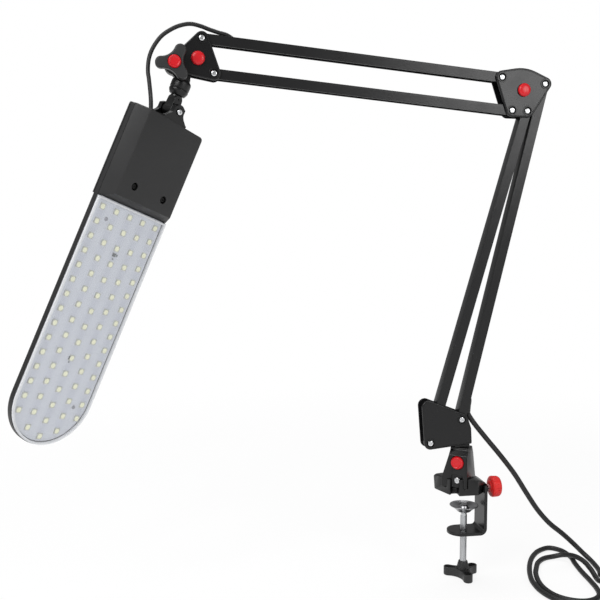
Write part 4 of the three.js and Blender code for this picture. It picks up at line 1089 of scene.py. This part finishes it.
def springPoints():
    s = spring
    points = [Vector((s["start"] - s["hook"], 0, s["radius"])), Vector((s["start"] - 3, 0, s["radius"]))]
    for i in range(s["turns"] * s["stepsPerTurn"] + 1):
        angle = fullTurn * i / s["stepsPerTurn"]
        x = s["start"] + s["pitch"] * i / s["stepsPerTurn"]
        points.append(Vector((x, -s["radius"] * math.sin(angle), s["radius"] * math.cos(angle))))
    return points + [Vector((s["end"] + 3, 0, s["radius"])), Vector((s["end"] + s["hook"], 0, s["radius"]))]


# name and body, pivot, angle, length, the bore at its far end, and what lies inside
barList = [
    ("lower_left", "left", 73.93, "lower", "hole", "lower_spring"),
    ("lower_right", "right", 76.44, "lower", "openHole", "lower_cord"),
    ("upper_top", "elbowHigh", 174.7, "upper", "hole", "upper_cord"),
    ("upper_bottom", "elbowLow", 174.7, "upper", "hole", "upper_spring"),
]
for name, key, angle, kind, endHole, inner in barList:
    place = atPivot(key) @ spun(-angle, "Y")
    if kind == "lower":
        # the lower channels open to the right
        place = place @ spun(180, "X")
    length = bar[kind]
    shape = channelShape(length, bar[endHole])
    sprung = inner.endswith("spring")
    if sprung:
        # the pins that the spring hooks on
        wire = spring["wire"]
        for at in (spring["start"] - spring["hook"] + wire, spring["end"] + spring["hook"] - wire):
            shape = together(shape, rod(wire, (at, spring["radius"] - wire * 1.5 - 0.3), -6.2, 6.2, 20))
    finishPiece(name + "_channel", shape, "barCoat", name, [name + "_bar"], 0.16, 40, place=place)
    if sprung:
        points = [place @ point for point in springPoints()]
        line = cordCurve(inner + "_coil", points, spring["wire"], "springWire", 3, 2)
    else:
        points = [place @ Vector((x, 0, -1.8)) for x in (11, 60, length / 2, length - 60, length - 11)]
        line = cordCurve(inner + "_sheath", points, 4.2, "cordSheath", 5, 6)
    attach(line, name)
    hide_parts(inner)

# the mains cord's tapered boot comes out of the right bar's open side
boot = {
    "route": [(33, 0.4), (28, 3.2), (23, 5.3), (16, 6.4), (8.2, 8.0)], "sizes": [6.6, 7.4, 7.6, 7.1, 6.6],
    "lean": 76.44,
}


def besideBar(along, away):
    angle = math.radians(boot["lean"])
    x, z = pivots["right"]
    across, up = math.cos(angle), math.sin(angle)
    return Vector((x + along * across + away * up, 0, z + along * up - away * across))


bootPoints = [besideBar(*place) for place in boot["route"]]
bootSizes = [
    size + (after - size) * i / 4 for size, after in zip(boot["sizes"], boot["sizes"][1:]) for i in range(4)
] + [boot["sizes"][-1]]
bootPiece = tubeMesh("cord_boot", smoothLine(bootPoints, 4), bootSizes, "cordSheath")
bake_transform(bootPiece)
print("bars, springs and inner cords made")

# Head joint: star knob, knuckle and stem

starKnob = {
    "back": -16, "thickness": 10, "centre": 14, "lobe": 6.2, "waist": 9.6, "turn": 63, "frontEdge": 1.9,
    "backEdge": 1.0, "cap": 7, "capRise": 3.2, "capSeat": 1.6, "hub": 6, "hubEnd": -9.3, "bore": 3.3,
}


def starShape():
    s = starKnob
    face = s["back"] - s["thickness"]
    arcs = lobeArcs(3, s["centre"], s["lobe"], s["waist"], math.radians(s["turn"]))
    star = thick(arcFace(arcs, face), s["thickness"])
    roundedEdges(star, s["frontEdge"], atDepth(face), 4)
    roundedEdges(star, s["backEdge"], atDepth(s["back"]), 3)
    star = carved(star, rod(s["hub"], (0, 0), s["back"] - 2, s["hubEnd"], 40), operation="UNION")
    seatRing = rod(s["cap"] + 0.3, (0, 0), face - 3, face + s["capSeat"], 56)
    bore = rod(s["bore"], (0, 0), s["back"] - 5, 0, 32)
    return carved(star, seatRing, bore)


tiltPlace = atPivot("tilt")
finishPiece("star_knob", starShape(), "mouldedBlack", "tilt_screw", ["tilt_knob"], 0.25, 40, place=tiltPlace)
tiltButton = moved(capShape(starKnob["cap"], starKnob["capRise"], True), facingFront(0, -24.7, 0))
finishPiece("star_button", tiltButton, "redGloss", "tilt_screw", ["tilt_knob_cap"], 0, 40, place=tiltPlace)

tilt = {"spindle": 3, "spindleTip": -12, "spindleEnd": 20.7, "nut": 5.1, "nutFront": 9.3, "nutBack": 12}
spindle = spindleShape(tilt["spindle"], tilt["spindleTip"], tilt["spindleEnd"], 0.4)
moved(spindle, facingFront(0, 0, 0))
finishPiece("tilt_spindle", spindle, "threadSteel", "tilt_screw", ["tilt_bolt"], 0, 40, place=tiltPlace)
nut = rod(tilt["nut"], (0, 0), tilt["nutFront"], tilt["nutBack"], 6)
nut = carved(nut, rod(plates["tiltHole"], (0, 0), 0, 20, 32))
finishPiece("tilt_hex_nut", nut, "brightZinc", "head_joint", ["tilt_nut"], 0.35, 30, place=tiltPlace)

knuckle = {
    "eye": 10.5, "deep": 12.6, "edge": 0.9, "neck": 8.25, "lean": 22, "barrel": 10.7, "length": 20, "bore": 4.5,
}
barrelPlace = atPivot("barrelTop") @ spun(knuckle["lean"], "Y")


def eyeShape(radius, place, half, edge, steps):
    # a boss along Y with both its rims rounded
    eye = roundedEdges(rod(radius, place, -half, half, steps), edge, atDepth(-half))
    return roundedEdges(eye, edge, atDepth(half))


def knuckleShape():
    k = knuckle
    half = k["deep"] / 2
    eye = eyeShape(k["eye"], pivots["tilt"], half, k["edge"], 56)
    web = beltSlab([(*pivots["tilt"], k["neck"]), (*pivots["barrelTop"], k["neck"] - 0.9)], -half + 0.4, half - 0.4)
    profile = [
        (0, 0.8), (k["barrel"] - 3.0, 0.8), (k["barrel"] - 2.6, -2.4), (k["barrel"] - 0.5, -4.6), (k["barrel"], -6.2),
        (k["barrel"], -12.6), (k["barrel"] - 0.9, -13.2), (k["barrel"] - 0.1, -13.8), (k["barrel"] - 0.3, -16),
        (k["barrel"] - 2.3, -k["length"]), (k["bore"], -k["length"]), (k["bore"], -6), (0, -6),
    ]
    barrel = moved(turned(softened(profile, 0.35, 2), 56), barrelPlace)
    whole = carved(eye, web, barrel, operation="UNION")
    return carved(whole, rod(plates["tiltHole"], pivots["tilt"], -20, 20, 32))


finishPiece("knuckle_casting", knuckleShape(), "castBlack", "knuckle", ["knuckle"], 0.3, 34)

stem = {
    "pivot": 37.0, "neck": 6.2, "eye": 7, "deep": 14, "edge": 0.7, "rise": 12.5, "shoulder": -20.3, "pin": 4.2,
    "pinEnd": -6.4, "turn": 42.96,
}


def stemShape():
    s = stem
    bottom = -s["pivot"]
    half = s["deep"] / 2
    pin = turned(softened([
        (0, bottom + 6), (s["neck"] - 1.2, bottom + 6), (s["neck"] - 1.0, bottom + s["rise"]),
        (s["neck"], bottom + s["rise"] + 1.4), (s["neck"], s["shoulder"]), (s["pin"], s["shoulder"]),
        (s["pin"], s["pinEnd"]), (0, s["pinEnd"]),
    ], 0.5), 44)
    eye = eyeShape(s["eye"], (0, bottom), half, s["edge"], 48)
    web = [(0, bottom, s["eye"] - 0.8), (0, bottom + s["rise"] - 1, s["neck"] - 0.6)]
    whole = carved(pin, eye, beltSlab(web, -half + 1.2, half - 1.2), operation="UNION")
    return carved(whole, rod(plates["hole"], (0, bottom), -half - 3, half + 3, 32))


stemPlace = barrelPlace @ spun(stem["turn"], "Z")
finishPiece("stem_eye", stemShape(), "castBlack", "swivel", ["swivel_stem"], 0.3, 34, place=stemPlace)
print("head joint made")

# Head, drawn in its own frame: x across, y to the back, z up, clevis pivot at the origin

headPlace = barrelPlace @ shift(0, 0, -stem["pivot"]) @ spun(stem["turn"], "Z") @ spun(1.29, "Y")
head = {
    "top": 14.5, "width": 99.4, "coverEnd": 115, "tip": 337.2, "board": 4.2, "boardThick": 1.4, "wall": 1.8,
    "back": 4.4, "corner": 3.6, "outerRound": 4.6, "innerRound": 2.8, "boxBack": 12, "boxTaper": 10, "boxWall": 2,
    "vents": 7, "ventPitch": 9, "ventHeight": -46,
}
ears = {
    "outer": 27, "steel": 5.2, "radius": 7.6, "base": 34, "foot": 2.6, "corner": 1.2, "flank": 10.0, "lean": 14,
    "ring": 4.6, "ringDeep": 0.6, "hole": 2.8,
}
cover = {
    "face": 19, "faceHalf": 41.5, "faceEnd": 108, "faceLift": 1.7, "wall": 2, "edge": 1.5, "screwX": 22,
    "screwZ": 93, "well": 4.1, "screwHead": 2.9, "screwRise": 1.0, "screw": 1.5, "cordHole": 2.75,
    "cordX": -33, "cordY": -10,
}


def tongueSlab(grow, front, back, top, corner=0.01, stepAngle=4.0):
    half = head["width"] / 2 + grow
    arcs = [
        ((half - corner, -top - corner), corner, 0, math.pi / 2),
        ((-half + corner, -top - corner), corner, math.pi / 2, math.pi / 2),
        ((0, -head["tip"]), half, math.pi, math.pi),
    ]
    return thick(arcFace(arcs, front, stepAngle), back - front)


def clevisShape():
    e = ears
    bottom = -head["top"] + head["wall"] + 0.3
    half, outer = e["base"] / 2, e["outer"] / 2
    corner, flank, lean = e["corner"], e["flank"], math.radians(e["lean"])
    arcs = [
        ((half - corner, bottom + corner), corner, -math.pi / 2, math.pi / 2 + 0.5),
        ((e["radius"] + flank - 0.4, 2.0), flank, math.pi + 0.9, -0.9 - lean),
        ((0, 0), e["radius"], -lean, math.pi + 2 * lean),
        ((-e["radius"] - flank + 0.4, 2.0), flank, lean, -0.9 - lean),
        ((-half + corner, bottom + corner), corner, math.pi - 0.5, math.pi / 2 + 0.5),
    ]
    pair = [thick(arcFace(arcs, front, 8), e["steel"]) for front in (-outer, outer - e["steel"])]
    foot = block((-half, -outer, bottom), (half, outer, bottom + e["foot"]))
    hole = rod(e["hole"], (0, 0), -outer - 3, outer + 3, 32)
    ring = rod(e["ring"], (0, 0), -outer - 3, -outer + e["ringDeep"], 44)
    return carved(carved(foot, *pair, operation="UNION"), hole, ring)


finishPiece("clevis_ears", clevisShape(), "castBlack", "head", ["head_clevis"], 0.45, 30, 3, headPlace)
clevisBolt = boltShape((0, 0), ears["outer"] / 2 + 0.3, 0.8)
finishPiece("clevis_pan_bolt", clevisBolt, "brightZinc", "head", ["clevis_screw"], 0.08, 40, place=headPlace)


def shellShape():
    h = head
    wall, back, top, end = h["wall"], h["back"], h["top"], h["coverEnd"]
    outer = tongueSlab(wall, -h["board"], back, top - wall, h["corner"])
    outer = roundedEdges(outer, h["outerRound"], atDepth(back), 6)
    hollow = tongueSlab(0, -h["board"] - 3, back - wall, top, h["corner"] - wall)
    hollow = roundedEdges(hollow, h["innerRound"], atDepth(back - wall), 5)
    # the driver's box bulges from the back, with vents in its face
    half = h["width"] / 2 + wall
    face, gap = half - h["boxTaper"], h["boxWall"]
    corners = [
        (-half, back - wall), (half, back - wall), (half, back), (face, h["boxBack"]), (-face, h["boxBack"]),
        (-half, back),
    ]
    box = bmesh.new()
    box.faces.new([box.verts.new((x, y, -end)) for x, y in corners])
    drawnOut(box, box.faces[:], (0, 0, end - top + wall))
    within = tongueSlab(wall + 0.01, -h["board"], h["boxBack"] + 2, top - wall - 0.01, h["corner"])
    bulge = carved(tidied(box), within, operation="INTERSECT")
    room = block((gap - face, -3, gap - end), (face - gap, h["boxBack"] - gap, -top - gap))
    vents = []
    for i in range(h["vents"]):
        vent = beltSlab([(0, -5, 1.1), (0, 5, 1.1)], h["boxBack"] - 0.9, h["boxBack"] + 4)
        vents.append(moved(vent, shift((i - h["vents"] // 2) * h["ventPitch"], 0, h["ventHeight"])))
    return carved(carved(carved(outer, hollow), bulge, operation="UNION"), room, *vents)


finishPiece("shell_back", shellShape(), "mouldedBlack", "head", ["rear_shell"], 0.5, 30, 3, headPlace)


def coverShape():
    h, c = head, cover
    back = -h["board"] - 0.3
    half = h["width"] / 2 + h["wall"]

    def shell(inset):
        # a rim at the back and a smaller face in front of it, four corners each
        shape = bmesh.new()
        rings = []
        for side, low, high, depth in (
            (half, h["coverEnd"], h["top"] - h["wall"], back + inset * 2),
            (c["faceHalf"], c["faceEnd"], h["top"] - c["faceLift"], -c["face"] + inset),
        ):
            x, low, high = side - inset, inset - low, -high - inset
            corners = ((-x, low), (x, low), (x, high), (-x, high))
            rings.append([shape.verts.new((x, depth, z)) for x, z in corners])
        for ring in rings:
            shape.faces.new(ring)
        low, high = rings
        for i in range(4):
            shape.faces.new((low[i], low[(i + 1) % 4], high[(i + 1) % 4], high[i]))
        return tidied(shape)

    def atTopCorner(edge):
        first, last = (end.co for end in edge.verts)
        return min(first.z, last.z) > -h["top"] and first.x * last.x > 0

    def atFace(edge):
        return any(end.co.y < back - 1 for end in edge.verts)

    outer = roundedEdges(shell(0), h["corner"], atTopCorner, 5)
    outer = roundedEdges(outer, c["edge"], atFace, 4)
    wells = [
        rod(c["well"], (x, -c["screwZ"]), -c["face"] - 3, -c["face"] + 6, 36) for x in (-c["screwX"], c["screwX"])
    ]
    cordHole = column(c["cordHole"], -h["top"] - 6, 0, c["cordX"], c["cordY"])
    return carved(outer, shell(c["wall"]), *wells, cordHole)


finishPiece("cover_front", coverShape(), "mouldedBlack", "head", ["front_cover"], 0.4, 34, 3, headPlace)
for side, x in (("left", -cover["screwX"]), ("right", cover["screwX"])):
    face, z = -cover["face"], -cover["screwZ"]
    pan = moved(crossHead(cover["screwHead"], cover["screwRise"]), facingFront(x, face + 2.0, z))
    shank = rod(cover["screw"], (x, z), face + 1.8, -head["board"] - head["boardThick"] - 0.3, 20)
    node = "cover_screw_" + side
    finishPiece(node + "_pan", together(pan, shank), "screwBlack", "head", [node], 0, 40, place=headPlace)

led = {
    "pitch": 19.84, "first": 124.75, "rows": 15, "side": 6.6, "rise": 1.2, "last": (379.0, 370.8, 353.6),
    "margin": 2.1, "window": 0.86, "windowFront": 0.8, "windowThick": 0.22, "track": 3.6, "trackGap": 0.8,
    "line": 5.2, "lineHalf": 0.4, "copper": 0.05, "screwHead": 2.3, "screwRise": 1.0,
    "screws": ((-28.6, -135.8), (29.7, -341.7)), "groups": ((0.2, -168.2), (-1.5, -288.3)),
    # each small part's left, right, bottom, top and rise, from its group's place
    "parts": ((-2.4, 1.6, -2, 2, 1.2), (3, 4.4, -1, 1.4, 0.7), (-1, 1, -5.4, -4.2, 0.7)),
}


def boardShapes():
    front = -head["board"]
    half, reach = led["side"] / 2, led["side"] / 2 + led["trackGap"]
    board = tongueSlab(-led["margin"], front, front + head["boardThick"], led["first"] - led["pitch"] / 2)
    tracks = []
    cases = bmesh.new()
    windows = bmesh.new()
    for line in range(-2, 3):
        x = line * led["pitch"]
        last = led["last"][abs(line)]
        step = (last - led["first"]) / (led["rows"] - 1)
        for row in range(led["rows"]):
            z = -led["first"] - row * step
            case = shift(x, front - led["rise"] / 2, z) @ Matrix.Diagonal((led["side"], led["rise"], led["side"], 1))
            bmesh.ops.create_cube(cases, size=1.0, matrix=case)
            bmesh.ops.create_cone(
                windows, cap_ends=True, segments=14, radius1=half * led["window"], radius2=half * led["windowFront"],
                depth=led["windowThick"], matrix=facingFront(x, front - led["rise"] - 0.09, z),
            )
            if row:
                low, high = z + reach, z + step - reach
                tracks.append(block((x - led["track"], front - led["copper"], low), (x + led["track"], front, high)))
        for side in (-1, 1):
            middle = x + side * led["line"]
            tracks.append(block(
                (middle - led["lineHalf"], front - led["copper"], -last + 2),
                (middle + led["lineHalf"], front, -led["first"] + 3),
            ))
    return board, cases, windows, together(*tracks)


board, cases, windows, tracks = boardShapes()
boardScrews = [
    moved(
        crossHead(led["screwHead"], led["screwRise"]),
        facingFront(x, -head["board"], z) @ Matrix.Rotation(0.6, 4, "Z"),
    )
    for x, z in led["screws"]
]
smallParts = [
    block((x + left, -head["board"] - rise, z + low), (x + right, -head["board"], z + high))
    for x, z in led["groups"] for left, right, low, high, rise in led["parts"]
]
finishPiece("light_board", board, "boardWhite", "head", ["led_board"], 0.15, place=headPlace)
finishPiece("chip_cases", cases, "chipCase", "head", place=headPlace, edge=0.12)
finishPiece("chip_windows", windows, "chipPhosphor", "head", place=headPlace, edge=0)
finishPiece("board_tracks", tracks, "trackWhite", "head", place=headPlace, edge=0)
finishPiece("board_screws", together(*boardScrews), "partGrey", "head", place=headPlace, edge=0, angle=40)
finishPiece("board_parts", together(*smallParts), "partDark", "head", place=headPlace, edge=0.1)

# the clear cover, and a whiter, less clear rim piece inside its side wall: painted sheen for the brightness of the
# wall seen on edge
lens = {"front": -7.4, "gap": 0.3, "inset": 0.4, "wall": 2.6, "sheet": 1.2, "edge": 0.6}
lensRim = {"gap": 0.8, "inset": 0.75, "wall": 2.4, "end": 2.2, "behind": 0.3}


def lensShape():
    top = head["coverEnd"] + lens["gap"]
    grow = head["wall"] - lens["inset"]
    outside = tongueSlab(grow, lens["front"], -head["board"] - 0.3, top)
    outside = roundedEdges(outside, lens["edge"], atDepth(lens["front"]), 3)
    wall = lens["wall"]
    return carved(outside, tongueSlab(grow - wall, lens["front"] + lens["sheet"], -head["board"] + 3, top + wall))


def lensRimShape():
    r = lensRim
    top = head["coverEnd"] + r["gap"]
    grow = head["wall"] - r["inset"]
    outside = tongueSlab(grow, lens["front"] + r["behind"], -head["board"] - 0.4, top)
    return carved(outside, tongueSlab(grow - r["wall"], lens["front"] - 3, -head["board"] + 3, top + r["end"]))


finishPiece("lens_sheet", lensShape(), "clearSheet", "head", ["clear_cover"], 0, 40, place=headPlace)
finishPiece("lens_rim", lensRimShape(), "clearEdge", "head", [], 0.2, 40, place=headPlace)
print("head made")

# The cord over the head joint, in four lengths, one across each joint

headCord = {
    "size": 4.5, "stepsPerPoint": 6,
    # the bend's two bodies, the points it begins and ends at, and the points; flex_bow's runs back from the
    # knuckle, because the turn's axis stays exact at every pose only from that side
    "lengths": {
        "flex_bar": ("upper_top", "head_joint", 1, 5, [
            (-272.4, 0, 517.2), (-279, 0, 520.9), (-287.2, 0, 522.9), (-298.2, 0, 526.2), (-306.9, 0, 529.2),
            (-317.8, 0, 531.1),
        ]),
        "flex_bow": ("knuckle", "head_joint", 3, 0, [
            (-317.8, 0, 531.1), (-329.7, 0, 528.6), (-340.6, 0, 523.1), (-349.4, 0, 516.2),
        ]),
        "flex_drop": ("knuckle", "swivel", 0, 5, [
            (-349.4, 0, 516.2), (-358.2, 0, 503.5), (-362.1, 0, 492.7), (-363.3, -2, 479.5),
            (-362.4, -5.6, 471), (-361.6, -10.4, 462),
        ]),
        "flex_entry": ("swivel", "head", 0, 3, [
            (-361.6, -10.4, 462), (-361, -15, 454.3), (-360.6, -23, 444.4), (-360.8, -30, 433.8),
        ]),
    },
}


def headCordLengths():
    steps = headCord["stepsPerPoint"]
    whole = []
    for *_, points in headCord["lengths"].values():
        whole += [Vector(point) for point in points[0 if not whole else 1:]]
    line = smoothLine(whole, steps)
    for name, (near, far, first, last, points) in headCord["lengths"].items():
        part = line[:steps * (len(points) - 1) + 1]
        line = line[len(part) - 1:]
        piece = tubeMesh(name, part, [headCord["size"]] * len(part), "cordSheath")
        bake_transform(piece)
        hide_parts("head_cord")


headCordLengths()

for slot in cadNodes["driver_board"].material_slots:
    slot.material = finishes["circuitGreen"]

bpy.context.scene.view_settings.view_transform = "Standard"
print("scene made")
